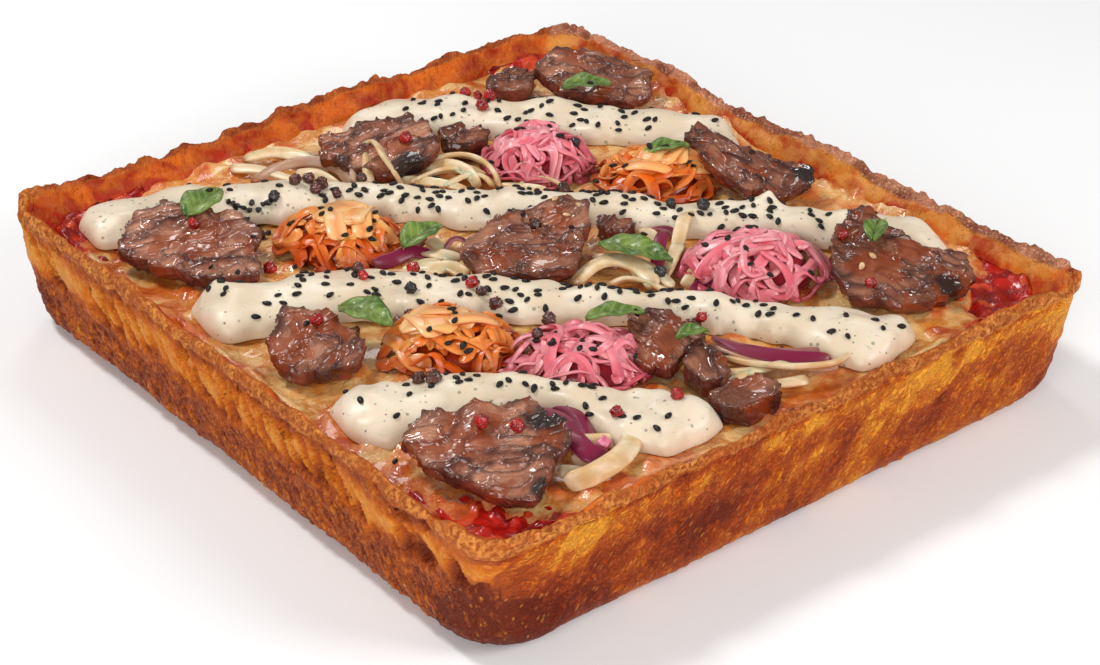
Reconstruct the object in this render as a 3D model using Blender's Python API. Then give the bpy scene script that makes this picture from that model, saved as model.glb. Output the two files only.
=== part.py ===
# A detroit-style pizza: a deep rectangular crust with its sauce, its cheese, four cream bands laid
# across it, seared beef, heaps of kimchi and of pink pickle, onion strands, basil, sesame and peppercorns.
# All sizes are in millimetres. +Z is up and the origin is the middle of the crust's flat bottom.
# The toppings are laid out in the stripe frame (u, v): u runs along the cream bands, v across them.

import math

import bmesh
import bpy
import numpy as np
from mathutils import Vector
from mathutils.bvhtree import BVHTree

metresPerMm = 0.001
stripeTurn = math.radians(39.0)   # from the pizza's X axis to the cream bands
touchGap = 0.35                   # between two pieces that touch

crust = dict(width=254.0, length=273.0, height=44.4, draft=2.0, footRadius=10.2, cornerRim=10.6,
             cornerInner=11.0, cornerFoot=24.3, rimNear=3.6, rimFar=6.4, innerSlope=5.0, bed=31.0,
             lipDrop=2.0, edgeDrop=1.6, kneeDrop=5.5, crestRise=1.3, lumpDepth=0.9,
             perX=20, perY=22, perCorner=4)
sauce = dict(bottom=31.35, top=34.0, wallGap=1.0)
cheese = dict(bottom=34.35, top=36.5, edgeDrop=0.5, wallGap=1.0, cornerCut=32.0, cornerBite=19.0,
              dent=1.1, rings=(0.93, 0.8, 0.6, 0.3))
restZ = cheese["top"] + touchGap  # the level that every topping stands on

# each row of a cream band is a place u along it, its front edge and its back edge across it
creamHeight = 8.2
creamBands = {
    "cream_band_1": [(-72, 84, 108), (-54, 90, 115), (-36, 89, 117), (-10, 88, 114), (16, 87, 110),
                     (42, 81, 105), (60, 79, 101), (80, 78, 98)],
    "cream_band_2": [(-158, 4, 28), (-140, 8, 37), (-122, 14, 43), (-98, 21, 46), (-70, 27, 45), (-44, 24, 43),
                     (-24, 20, 40), (0, 17, 39), (18, 20, 40), (34, 17, 34), (54, 11, 31), (78, 12, 29),
                     (104, 4, 24), (126, -3, 20), (142, -6, 14)],
    "cream_band_3": [(-116, -54, -34), (-98, -57, -27), (-78, -50, -19), (-58, -44, -16), (-36, -44, -20),
                     (-12, -46, -22), (12, -47, -27), (36, -47, -33), (60, -51, -34), (82, -59, -39),
                     (100, -71, -41), (118, -73, -47), (130, -70, -52)],
    "cream_band_4": [(-64, -116, -95), (-48, -120, -87), (-30, -113, -84), (-10, -101, -83), (8, -103, -88),
                     (24, -115, -92), (40, -124, -94), (54, -126, -98), (64, -125, -107)],
}
creamTip = 13.0                   # length of a band's rounded end, and the least width that it starts from
creamNarrow = 7.0                 # a band with a smaller half width is lower
creamStations = 18

# a beef piece: its outline (u, v), the height of its foot, its thickness and how it rises along u and v
beefPieces = {
    "beef_a0": dict(outline=[(-18, 117), (-16, 125), (-11, 132), (-4, 133), (-1, 128), (-3, 117)],
                    foot=0.0, thick=8.0, rise=(0.0, 0.05)),
    "beef_a1": dict(outline=[(0, 126), (4, 136), (14, 139), (26, 137), (35, 130), (43, 125), (42, 113),
                             (36, 108), (22, 109), (8, 114)], foot=1.5, thick=7.0, rise=(-0.03, 0.16)),
    "beef_b1": dict(outline=[(-78, 71), (-62, 79), (-46, 84), (-38, 75), (-35, 63), (-40, 55), (-50, 50),
                             (-64, 53), (-75, 60)], foot=1.0, thick=6.5, rise=(0.06, 0.14)),
    "beef_b2": dict(outline=[(-35, 80), (-30, 84), (-22, 84), (-18, 80), (-18, 74), (-24, 70), (-32, 71)],
                    foot=0.0, thick=8.0, rise=(0.0, 0.0)),
    "beef_b3": dict(outline=[(55, 67), (59, 76), (69, 62), (86, 50), (97, 48), (98, 39), (84, 29), (71, 36),
                             (61, 50)], foot=2.0, thick=6.5, rise=(-0.02, 0.12)),
    "beef_c1": dict(outline=[(-139, -10), (-137, 13), (-128, 19), (-114, 12), (-103, 12), (-95, 5),
                             (-92, -24), (-106, -27), (-123, -19)], foot=0.0, thick=6.5, rise=(0.02, 0.13)),
    "beef_c2": dict(outline=[(-25, -10), (-15, 3), (4, 12), (12, 15), (18, 10), (19, 2), (14, -19), (8, -23),
                             (-7, -22), (-18, -20)], foot=0.0, thick=6.5, rise=(0.05, 0.22)),
    "beef_c2b": dict(outline=[(22, 14), (27, 16), (33, 13), (32, 7), (27, 5), (23, 8)],
                     foot=0.0, thick=8.0, rise=(0.0, 0.0)),
    "beef_c3": dict(outline=[(98, -24), (101, -6), (107, 6), (113, 6), (126, -9), (143, -18), (146, -27),
                             (136, -37), (121, -42), (103, -38)], foot=0.0, thick=6.5, rise=(-0.04, 0.17)),
    "beef_d1": dict(outline=[(-83, -72), (-79, -54), (-68, -56), (-55, -64), (-52, -74), (-57, -82),
                             (-70, -86), (-79, -83)], foot=0.0, thick=6.5, rise=(0.02, 0.18)),
    "beef_d2": dict(outline=[(31, -56), (39, -54), (53, -62), (55, -69), (48, -75), (42, -85), (33, -78),
                             (31, -68)], foot=1.0, thick=6.5, rise=(0.0, 0.14)),
    "beef_d2b": dict(outline=[(48, -77), (53, -73), (58, -77), (60, -85), (58, -91), (52, -90), (48, -85)],
                     foot=0.0, thick=8.0, rise=(0.0, 0.05)),
    "beef_d3": dict(outline=[(54, -99), (60, -94), (70, -89), (76, -92), (76, -99), (66, -108), (58, -106)],
                    foot=0.0, thick=7.5, rise=(0.02, 0.0)),
    "beef_e1": dict(outline=[(-38, -129), (-31, -118), (-13, -116), (-2, -114), (8, -122), (10, -132),
                             (6, -145), (1, -155), (-6, -154), (-19, -147), (-31, -139)],
                    foot=0.0, thick=6.5, rise=(0.03, 0.20)),
}

# a heap: middle (u, v), radii along u and v, height, and what its shreds are
heaps = {
    "kimchi_b": dict(middle=(43, 54), radii=(22.0, 18.5), height=12.5, kind="kimchi", seed=11),
    "kimchi_c": dict(middle=(-67, 7), radii=(21.5, 18.5), height=13.0, kind="kimchi", seed=12),
    "kimchi_d": dict(middle=(-27, -63), radii=(22.0, 18.0), height=14.0, kind="kimchi", seed=13),
    "pickle_b": dict(middle=(1, 67), radii=(20.5, 18.5), height=15.0, kind="pickle", seed=21),
    "pickle_c": dict(middle=(74, -13), radii=(25.0, 21.5), height=15.0, kind="pickle", seed=22),
    "pickle_d": dict(middle=(14, -73), radii=(24.0, 17.5), height=13.5, kind="pickle", seed=23),
}
shredKinds = {
    "kimchi": dict(width=2.6, thick=1.8, length=(20.0, 34.0), bend=7.0, wide=2, wideWidth=7.0, inSolid=6),
    "pickle": dict(width=2.6, thick=2.2, length=(20.0, 36.0), bend=9.0, wide=0, wideWidth=0.0, inSolid=6),
}
heapCore = 0.84                   # the bare core's share of the heap's radii and height

# onion strands: paths (u, v), each with its thickness and how high its middle arches
onionBundles = {
    "onion_left": dict(core=(-82, 61, 13, 8), strands=[
        ([(-106, 68), (-96, 71), (-86, 68), (-74, 60)], 3.4, 2.0),
        ([(-101, 51), (-92, 60), (-80, 63), (-70, 58), (-66, 50)], 3.0, 2.5)]),
    "onion_back": dict(core=(-33, 58, 12, 8), strands=[
        ([(-47, 60), (-37, 66), (-27, 67), (-19, 62), (-14, 53), (-13, 46)], 3.4, 3.0),
        ([(-45, 50), (-36, 56), (-27, 57), (-21, 50)], 3.0, 2.0),
        ([(-33, 47), (-25, 53), (-18, 52), (-14, 46)], 3.0, 2.0)]),
    "onion_middle": dict(core=(-38, -7, 11, 6), strands=[
        ([(-54, -10), (-47, -8), (-41, -3), (-34, -4)], 3.2, 2.0),
        ([(-42, -9), (-35, -13), (-27, -13), (-22, -17)], 3.0, 1.5),
        ([(-36, 8), (-32, -1), (-28, -9)], 3.0, 2.0)]),
    "onion_centre": dict(core=(30, -16, 12, 6), strands=[
        ([(13, -24), (20, -15), (28, -13), (36, -17), (40, -25)], 4.0, 3.5),
        ([(20, -5), (29, -7), (38, -13), (46, -24)], 3.2, 2.5),
        ([(44, -18), (48, -4), (50, 8)], 3.2, 3.0)]),
    "onion_right": dict(core=(76, -74, 15, 6), strands=[
        ([(58, -58), (66, -67), (80, -73), (94, -72)], 3.8, 2.0),
        ([(60, -70), (70, -77), (82, -80), (93, -77), (99, -69)], 3.8, 3.0),
        ([(61, -88), (66, -80), (72, -74)], 3.0, 1.0)]),
    "onion_front": dict(core=(17, -126, 10, 10), strands=[
        ([(1, -101), (8, -109), (12, -121), (17, -129), (23, -128)], 4.2, 4.0),
        ([(10, -141), (17, -140), (25, -133), (29, -124), (30, -114)], 4.4, 3.0),
        ([(2, -96), (11, -103), (16, -113), (19, -124)], 3.2, 3.0)]),
}

onionCoreHeight = 3.4
onionRoom = 0.6                   # how much larger the room round a bundle is, on every side

# basil leaves: place (u, v), turn in degrees, length, width and how far the sides fold up
basilLeaves = {
    "basil_1": dict(place=(19, 111), turn=8, length=19.0, width=12.0, fold=0.30),
    "basil_2": dict(place=(47, 57), turn=20, length=18.0, width=9.0, fold=0.45),
    "basil_3": dict(place=(-113, 14), turn=62, length=22.0, width=15.0, fold=0.25),
    "basil_4": dict(place=(-38, 2), turn=50, length=20.0, width=13.0, fold=0.40),
    "basil_5": dict(place=(34, -11), turn=-25, length=28.0, width=15.0, fold=0.30),
    "basil_6": dict(place=(114, -10), turn=75, length=15.0, width=9.0, fold=0.45),
    "basil_7": dict(place=(-53, -60), turn=-35, length=22.0, width=15.0, fold=0.30),
    "basil_8": dict(place=(26, -62), turn=12, length=20.0, width=9.0, fold=0.40),
    "basil_9": dict(place=(50, -72), turn=25, length=12.0, width=7.0, fold=0.40),
}
leafThick = 0.8

seedSize = (1.45, 0.95, 0.7)      # half sizes of a sesame seed
seedsInSolid = 9                  # on each cream band
seedsApart = 9.0
cornSize = 2.4                    # a peppercorn's radius
peppercorns = {                   # places (u, v) of those fused to a solid
    "cream_band_1": [(-20, 100), (-17, 108)],
    "cream_band_2": [(-75, 38), (10, 35), (58, 22)],
    "cream_band_3": [(-56, -30), (-20, -34)],
    "cream_band_4": [(-30, -92), (44, -104)],
    "beef_c1": [(-115, 2)],
    "beef_c2": [(0, 0)],
    "beef_e1": [(-15, -125), (-4, -128)],
    "beef_d1": [(-68, -64)],
}

finishes = {                      # colour, roughness and metallic value
    "crust": ((0.52, 0.22, 0.06), 0.62, 0.0),
    "sauce": ((0.62, 0.05, 0.02), 0.35, 0.0),
    "cheese": ((0.86, 0.62, 0.34), 0.38, 0.0),
    "cream": ((0.86, 0.78, 0.62), 0.36, 0.0),
    "beef": ((0.18, 0.075, 0.045), 0.42, 0.0),
    "kimchi": ((0.85, 0.28, 0.05), 0.40, 0.0),
    "pickle": ((0.85, 0.28, 0.38), 0.35, 0.0),
    "onion": ((0.78, 0.66, 0.44), 0.35, 0.0),
    "basil": ((0.09, 0.22, 0.04), 0.45, 0.0),
}


def clearScene():
    for thing in list(bpy.data.objects):
        bpy.data.objects.remove(thing, do_unlink=True)


def finish(kind):
    material = bpy.data.materials.get(kind)
    if material is None:
        colour, roughness, metallic = finishes[kind]
        material = bpy.data.materials.new(kind)
        material.use_nodes = True
        shader = material.node_tree.nodes["Principled BSDF"]
        shader.inputs["Base Color"].default_value = (*colour, 1.0)
        shader.inputs["Roughness"].default_value = roughness
        shader.inputs["Metallic"].default_value = metallic
    return material


def toPizza(u, v):
    # turns the stripe frame back into the pizza's X and Y
    return (u * math.cos(stripeTurn) + v * math.sin(stripeTurn),
            v * math.cos(stripeTurn) - u * math.sin(stripeTurn))


def insideWall(x, y, margin):
    # keeps a point at least margin away from the inner wall at the cheese's level
    reachX = crust["width"] / 2 - crust["rimFar"] - crust["innerSlope"] - margin
    reachY = crust["length"] / 2 - crust["rimFar"] - crust["innerSlope"] - margin
    return np.clip(x, -reachX, reachX), np.clip(y, -reachY, reachY)


def ripple(x, y, wavelength, seed):
    # six sine waves of about one wavelength in seeded directions, added up: about -1 to 1
    draw = np.random.default_rng(seed)
    total = 0.0
    for wave in range(6):
        angle, phase = draw.uniform(0, 2 * math.pi, 2)
        rate = 2 * math.pi / (wavelength * draw.uniform(0.7, 1.4))
        total = total + np.sin(rate * (x * math.cos(angle) + y * math.sin(angle)) + phase)
    return total / 3.2


def smoothPath(points, count, closed=False):
    # a Catmull-Rom curve through the points, read at even steps
    points = np.asarray(points, float)
    total = len(points)
    steps = np.arange(count) / count * total if closed else np.linspace(0, total - 1, count)
    at = np.minimum(steps.astype(int), total - 1 if closed else total - 2)
    share = (steps - at)[:, None]
    around = [at + k for k in (-1, 0, 1, 2)]
    around = [k % total if closed else np.clip(k, 0, total - 1) for k in around]
    a, b, c, d = (points[k] for k in around)
    return 0.5 * (2 * b + (c - a) * share + (2 * a - 5 * b + 4 * c - d) * share ** 2
                  + (3 * b - a - 3 * c + d) * share ** 3)


def solidObject(name, corners, faces, kind):
    # a closed solid from points in millimetres, its faces pointing out
    mesh = bpy.data.meshes.new(name)
    mesh.from_pydata((np.asarray(corners) * metresPerMm).tolist(), [], faces)
    shape = bmesh.new()
    shape.from_mesh(mesh)
    bmesh.ops.triangulate(shape, faces=shape.faces)
    bmesh.ops.recalc_face_normals(shape, faces=shape.faces)
    shape.to_mesh(mesh)
    shape.free()
    mesh.materials.append(finish(kind))
    mesh.shade_smooth()
    mesh.set_sharp_from_angle(angle=math.radians(50))
    piece = bpy.data.objects.new(name, mesh)
    bpy.context.collection.objects.link(piece)
    return piece


def loft(rings, firstPole, lastPole):
    # closed rings of equal count joined side by side, with a fan to a pole at each end
    rings = np.asarray(rings, float)
    count, around = rings.shape[:2]
    corners = np.concatenate([[firstPole], rings.reshape(-1, 3), [lastPole]])
    here = np.arange(around)
    after = np.roll(here, -1)
    faces = [(0, 1 + a, 1 + b) for a, b in zip(here, after)]
    for ring in range(count - 1):
        low, high = 1 + ring * around, 1 + (ring + 1) * around
        faces += [(low + a, high + a, high + b, low + b) for a, b in zip(here, after)]
    top = 1 + (count - 1) * around
    faces += [(len(corners) - 1, top + b, top + a) for a, b in zip(here, after)]
    return corners, faces


def loopStations():
    # every station is a corner's number, a share of its quarter turn and a share of the run after it
    rows = []
    for corner in range(4):
        run = crust["perX"] if corner % 2 == 0 else crust["perY"]
        rows += [(corner, k / crust["perCorner"], 0.0) for k in range(crust["perCorner"] + 1)]
        rows += [(corner, 1.0, k / run) for k in range(1, run)]
    return np.array(rows)


def loopPoints(stations, inset, radius):
    # a rectangle with round corners, inset from the crust's widest outline, with its outward directions
    reachX = crust["width"] / 2 - inset - radius
    reachY = crust["length"] / 2 - inset - radius
    corner = stations[:, 0].astype(int)
    turn, run = stations[:, 1], stations[:, 2]
    sideX, sideY = np.array([(1, 1), (-1, 1), (-1, -1), (1, -1)])[corner].T
    nextX, nextY = np.array([(-1, 1), (-1, -1), (1, -1), (1, 1)])[corner].T
    angle = (corner + turn) * math.pi / 2
    x = (sideX + (nextX - sideX) * run) * reachX + radius * np.cos(angle)
    y = (sideY + (nextY - sideY) * run) * reachY + radius * np.sin(angle)
    return x, y, np.cos(angle), np.sin(angle)


def cornerRadius(z):
    # the corners are tighter at the rim than at the foot
    return crust["cornerFoot"] + (crust["cornerRim"] - crust["cornerFoot"]) * z / crust["height"]


def rimWidth(x, y, outX, outY):
    # the rim is thicker on the two sides at +X and +Y
    far = np.clip(0.5 + 0.5 * (outX + outY) * 1.4, 0, 1)
    return crust["rimNear"] + (crust["rimFar"] - crust["rimNear"]) * far + 0.9 * ripple(x, y, 34, 3)


def crustRing(stations, inset, z, radius, lump=0.0, rise=0.0):
    # one ring of the crust: lump dents it inwards, rise makes its height uneven
    x, y, outX, outY = loopPoints(stations, inset, radius)
    dent = lump * np.abs(ripple(x, y, 17, 5))
    height = z + rise * (ripple(x, y, 52, 6) + 0.8 * ripple(x, y, 15, 7))
    return np.stack([x - dent * outX, y - dent * outY, height + 0 * x], axis=1)


def crustRings(stations):
    # foot, outer wall, crest, inner wall and bed, from the bottom's edge to the bed's edge
    height, draft, foot = crust["height"], crust["draft"], crust["footRadius"]
    lump, rise = crust["lumpDepth"], crust["crestRise"]
    rings = []
    for bend in (0.0, 45.0, 90.0):
        angle = math.radians(bend)
        level = foot * (1 - math.cos(angle))
        inset = foot * (1 - math.sin(angle))
        radius = cornerRadius(level) - inset
        rings.append(crustRing(stations, draft * (1 - level / height) + inset, level, radius))
    for share, depth in ((0.55, 0.6), (0.88, 0.8)):
        level = height * share
        rings.append(crustRing(stations, draft * (1 - share), level, cornerRadius(level), lump * depth))
    rings.append(crustRing(stations, 0.0, height - crust["lipDrop"], crust["cornerRim"], lump, rise * 0.8))
    rim = rimWidth(*loopPoints(stations, 0.0, crust["cornerRim"]))
    rings.append(crustRing(stations, rim * 0.45, height, crust["cornerRim"], lump, rise))
    rings.append(crustRing(stations, rim, height - crust["edgeDrop"], crust["cornerRim"], 0.0, rise))
    rings.append(crustRing(stations, kneeInset(stations), height - crust["kneeDrop"], crust["cornerInner"]))
    rings.append(crustRing(stations, bedInset(), crust["bed"], crust["cornerInner"]))
    return rings


def kneeInset(stations):
    # how far the middle of the inner wall lies inside the widest outline
    rim = rimWidth(*loopPoints(stations, 0.0, crust["cornerRim"]))
    return rim + crust["innerSlope"] * 0.55


def bedInset():
    # how far the bed's edge lies inside the widest outline
    return crust["rimFar"] + crust["innerSlope"] + 1.2


def buildCrust():
    rings = crustRings(loopStations())
    corners, faces = loft(rings, (0, 0, 0), (0, 0, crust["bed"]))
    return solidObject("crust", corners, faces, "crust")


def fillingLoop(stations, level, gap):
    # the inner wall's outline at a level, moved inwards by a gap: what fills the crust ends there
    share = (level - crust["bed"]) / (crust["height"] - crust["kneeDrop"] - crust["bed"])
    footX, footY, outX, outY = loopPoints(stations, bedInset(), crust["cornerInner"])
    kneeX, kneeY = loopPoints(stations, kneeInset(stations), crust["cornerInner"])[:2]
    return np.stack([footX + (kneeX - footX) * share - gap * outX,
                     footY + (kneeY - footY) * share - gap * outY], axis=1)


def buildSauce():
    stations = loopStations()[::2]
    rings, centres = [], []
    for level in (sauce["bottom"], sauce["top"]):
        edge = fillingLoop(stations, level, sauce["wallGap"])
        rings.append(np.column_stack([edge, np.full(len(edge), level)]))
        centres.append((0, 0, level))
    return solidObject("sauce", *loft(rings, *centres), "sauce")


def cheeseEdge(stations, level):
    # the cheese stops short of the four corners, where the sauce shows
    edge = fillingLoop(stations, level, cheese["wallGap"])
    reach = np.abs(edge).max(axis=0)
    away = np.hypot(*(reach - np.abs(edge)).T)
    bite = cheese["cornerBite"] * np.clip(1 - away / cheese["cornerCut"], 0, 1) ** 1.2
    inward = -edge / np.hypot(*edge.T)[:, None]
    return edge + inward * bite[:, None]


def buildCheese():
    stations = loopStations()[::2]
    shoulder = cheese["top"] - cheese["edgeDrop"]
    rings = []
    for level in (cheese["bottom"], shoulder):
        edge = cheeseEdge(stations, level)
        rings.append(np.column_stack([edge, np.full(len(edge), level)]))
    for share in cheese["rings"]:
        x, y = (edge * share).T
        dent = cheese["dent"] * np.clip(ripple(x, y, 40, 9), 0, 1)
        rings.append(np.stack([x, y, cheese["top"] - dent], axis=1))
    corners, faces = loft(rings, (0, 0, cheese["bottom"]), (0, 0, cheese["top"]))
    return solidObject("cheese", corners, faces, "cheese")


def bandOutline(rows, stations):
    # a band's places along u with its front and back edges, inside the walls and round at both ends
    line = smoothPath(rows, 24 * len(rows))
    u = np.arange(rows[0][0], rows[-1][0], 0.5)
    front, back = bandEdges(u, line)
    wide = u[back - front > creamTip]
    first, last = wide[0], wide[-1]
    front, back = softened(front, 7.0), softened(back, 7.0)
    swing = np.linspace(0, math.pi, stations)
    along = (first + last) / 2 - (last - first) / 2 * np.cos(swing) * (1 - 0.35 * np.sin(swing) ** 2)
    fromEnd = np.minimum(along - first, last - along)
    tip = np.sqrt(np.clip(1 - (1 - np.clip(fromEnd / creamTip, 0, 1)) ** 2, 0, 1))
    return along, np.interp(along, u, front), np.interp(along, u, back), tip


def bandEdges(u, line):
    # the walls, seen along v, limit the edges: each wall is a straight line in the stripe frame
    reachX = crust["width"] / 2 - bedInset() - 0.5
    reachY = crust["length"] / 2 - bedInset() - 0.5
    cosine, sine = math.cos(stripeTurn), math.sin(stripeTurn)
    lowest = np.maximum((-reachX - u * cosine) / sine, (-reachY + u * sine) / cosine)
    highest = np.minimum((reachX - u * cosine) / sine, (reachY + u * sine) / cosine)
    front, back = np.interp(u, line[:, 0], line[:, 1]), np.interp(u, line[:, 0], line[:, 2])
    return np.maximum(front, lowest), np.minimum(back, highest)


def softened(edge, reach):
    # a mean weighted like a bell, over about twice the reach; the places lie half a millimetre apart
    weight = np.exp(-np.linspace(-2, 2, 4 * int(reach) + 1) ** 2)
    padded = np.pad(edge, len(weight) // 2, mode="edge")
    return np.convolve(padded, weight / weight.sum(), mode="valid")


def bandRings(rows, stations, across):
    # a dome on a flat foot, carried along the band: its edges follow the rows, its ends are round
    along, front, back, tip = bandOutline(rows, stations)
    middle, half = (front + back) / 2, (back - front) / 2 * tip
    side = np.linspace(-1, 1, across)
    dome = np.sqrt(np.clip(1 - np.abs(side) ** 2.6, 0, 1))
    u = np.repeat(along[:, None], across, axis=1)
    v = middle[:, None] + half[:, None] * side
    height = creamHeight * tip ** 0.8 * np.clip(half / creamNarrow, 0.2, 1) ** 0.5
    z = restZ + height[:, None] * dome * (1 + 0.12 * ripple(u, v, 26, 31))
    return np.stack([*toPizza(u, v), z], axis=2)


def buildBand(name, rows):
    rings = bandRings(rows, creamStations, 7)
    return solidObject(name, *loft(rings[1:-1], rings[0].mean(axis=0), rings[-1].mean(axis=0)), "cream")


def beefRings(piece, count, grow=0.0):
    # a slab with a flat foot: rings of the outline, drawn in at the foot and at the top
    outline = smoothPath(piece["outline"], count, closed=True)
    middle = outline.mean(axis=0)
    spread = outline - middle
    rings = []
    levels = ((0.84, 0.0), (0.98, 0.35), (1.0, 0.75), (0.93, 0.96), (0.55, 1.0))
    for scale, lift in levels:
        place = middle + spread * scale
        out = spread / np.hypot(*spread.T)[:, None]
        place = place + out * grow
        u, v = place.T
        lean = piece["rise"][0] * (u - middle[0]) + piece["rise"][1] * (v - outline[:, 1].min())
        bump = (0.9 * ripple(u, v, 15, 41) + 0.25) * lift
        z = restZ + piece["foot"] + lean + piece["thick"] * lift + bump
        z = np.maximum(z, restZ) + grow * (2 * lift - 1)
        x, y = insideWall(*toPizza(u, v), 1.0 - grow)
        rings.append(np.stack([x, y, z], axis=1))
    return rings


def buildBeef(name, piece, grow=0.0):
    count = 18 if len(piece["outline"]) > 7 else 13
    rings = beefRings(piece, count, grow)
    low, high = rings[0].mean(axis=0), rings[-1].mean(axis=0)
    return solidObject(name, *loft(rings, low, high + (0, 0, 0.4)), "beef")


def domeRings(middle, radii, height, around, levels, grow=0.0):
    # half an ellipsoid on a flat foot
    angle = np.arange(around) / around * 2 * math.pi
    rings = []
    for level in np.linspace(0, math.pi / 2, levels, endpoint=False):
        u = middle[0] + (radii[0] + grow) * math.cos(level) * np.cos(angle)
        v = middle[1] + (radii[1] + grow) * math.cos(level) * np.sin(angle)
        z = np.full(around, restZ - grow + (height + 2 * grow) * math.sin(level))
        rings.append(np.stack([*toPizza(u, v), z], axis=1))
    x, y = toPizza(*middle)
    return loft(rings, (x, y, restZ - grow), (x, y, restZ + height + grow))


def stripRings(path, width, thick, sides):
    # a strip of oval section carried along a path, level across its own direction
    ahead = np.gradient(path, axis=0)
    ahead /= np.linalg.norm(ahead, axis=1)[:, None]
    across = np.cross(ahead, (0, 0, 1.0))
    across /= np.linalg.norm(across, axis=1)[:, None]
    above = np.cross(across, ahead)
    angle = (np.arange(sides) / sides + 0.25) * 2 * math.pi
    end = np.ones(len(path))
    end[[0, -1]] = 0.75
    ring = (across[:, None, :] * (width / 2 * np.cos(angle))[None, :, None]
            + above[:, None, :] * (thick / 2 * np.sin(angle))[None, :, None])
    return path[:, None, :] + ring * end[:, None, None]


def stripSolid(name, path, width, thick, sides, kind):
    rings = stripRings(path, width, thick, sides)
    first = path[0] - (path[1] - path[0]) * 0.15
    last = path[-1] + (path[-1] - path[-2]) * 0.15
    return solidObject(name, *loft(rings, first, last), kind)


def shredPaths(heap, total, points):
    # shreds laid over a heap: bent chords that stay inside its outline and follow its rounded top
    kind = shredKinds[heap["kind"]]
    draw = np.random.default_rng(heap["seed"])
    paths = []
    for shred in range(total):
        length = draw.uniform(*kind["length"])
        heading = draw.uniform(0, 2 * math.pi)
        reach, where = 0.55 * math.sqrt(draw.uniform()), draw.uniform(0, 2 * math.pi)
        bend, turn = draw.uniform(-1, 1) * kind["bend"], draw.uniform(-0.5, 0.5)
        step = np.linspace(-0.5, 0.5, points)
        ahead = step * length
        aside = bend * (4 * step ** 2 - 0.5) + turn * bend * np.sin(2 * math.pi * step)
        u = heap["radii"][0] * reach * math.cos(where) + ahead * math.cos(heading) - aside * math.sin(heading)
        v = heap["radii"][1] * reach * math.sin(where) + ahead * math.sin(heading) + aside * math.cos(heading)
        out = np.hypot(u / heap["radii"][0], v / heap["radii"][1])
        pull = 1 / np.maximum(1, out / 0.90)
        u, v, out = u * pull, v * pull, np.minimum(out, 0.90)
        level = draw.uniform(0.88, 1.0)
        lift = np.sqrt(1 - out ** 2) * level
        z = restZ + heap["height"] * lift - kind["thick"] * 0.75
        z = np.maximum(z, restZ + kind["thick"] * 0.62)
        paths.append(np.stack([*toPizza(u + heap["middle"][0], v + heap["middle"][1]), z], axis=1))
    return paths


def joinPieces(name, pieces, kind):
    # one Boolean union of a collection of solids, applied; the largest body is kept
    group = bpy.data.collections.new(name + "_pieces")
    bpy.context.scene.collection.children.link(group)
    for piece in pieces[1:]:
        bpy.context.collection.objects.unlink(piece)
        group.objects.link(piece)
    base = pieces[0]
    union = base.modifiers.new("join", "BOOLEAN")
    union.operation = "UNION"
    union.operand_type = "COLLECTION"
    union.collection = group
    union.solver = "MANIFOLD"
    joined = applied(name, base, kind)
    for piece in list(group.objects):
        bpy.data.objects.remove(piece, do_unlink=True)
    bpy.data.collections.remove(group)
    return joined


def carve(name, target, cutters, kind):
    # takes slightly larger copies of the neighbours out of a solid, so that a gap is left
    near = [cutter for cutter in cutters if boxesMeet(target, cutter)]
    for cutter in near:
        cut = target.modifiers.new("cut", "BOOLEAN")
        cut.operation = "DIFFERENCE"
        cut.object = cutter
        cut.solver = "MANIFOLD"
    return applied(name, target, kind)


def boxesMeet(one, other):
    a = np.array([corner[:] for corner in one.bound_box])
    b = np.array([corner[:] for corner in other.bound_box])
    return bool((a.min(axis=0) <= b.max(axis=0)).all() and (b.min(axis=0) <= a.max(axis=0)).all())


def applied(name, piece, kind):
    # the evaluated mesh as a new object, without loose scraps and sealed hollows
    bpy.context.view_layer.update()
    evaluated = piece.evaluated_get(bpy.context.evaluated_depsgraph_get())
    mesh = bpy.data.meshes.new_from_object(evaluated)
    bpy.data.objects.remove(piece, do_unlink=True)
    shape = bmesh.new()
    shape.from_mesh(mesh)
    bmesh.ops.triangulate(shape, faces=shape.faces)
    bmesh.ops.dissolve_degenerate(shape, dist=1e-6, edges=shape.edges)
    bmesh.ops.triangulate(shape, faces=shape.faces)
    dropSmallBodies(shape)
    shape.to_mesh(mesh)
    shape.free()
    mesh.name = name
    mesh.materials.clear()
    mesh.materials.append(finish(kind))
    result = bpy.data.objects.new(name, mesh)
    bpy.context.collection.objects.link(result)
    return result


def dropSmallBodies(shape):
    # faces that hang together are one body; all but the one with the most surface are deleted
    shape.faces.ensure_lookup_table()
    seen, bodies = set(), []
    for face in shape.faces:
        if face.index in seen:
            continue
        seen.add(face.index)
        body, front = [], [face]
        while front:
            here = front.pop()
            body.append(here)
            for edge in here.edges:
                for other in edge.link_faces:
                    if other.index not in seen:
                        seen.add(other.index)
                        front.append(other)
        bodies.append(body)
    bodies.sort(key=lambda body: sum(face.calc_area() for face in body), reverse=True)
    loose = [face for body in bodies[1:] for face in body]
    bmesh.ops.delete(shape, geom=loose, context="FACES")


def surfaceOf(pieces):
    # one search tree over the faces of several solids
    corners, faces = [], []
    for piece in pieces:
        start = len(corners)
        corners += [vertex.co.copy() for vertex in piece.data.vertices]
        faces += [[start + k for k in face.vertices] for face in piece.data.polygons]
    return BVHTree.FromPolygons(corners, faces)


def dropOn(surface, u, v):
    # the point and slope of a surface straight below (u, v), in metres
    x, y = toPizza(u, v)
    return surface.ray_cast(Vector((x, y, 100.0)) * metresPerMm, Vector((0, 0, -1)))[:2]


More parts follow.
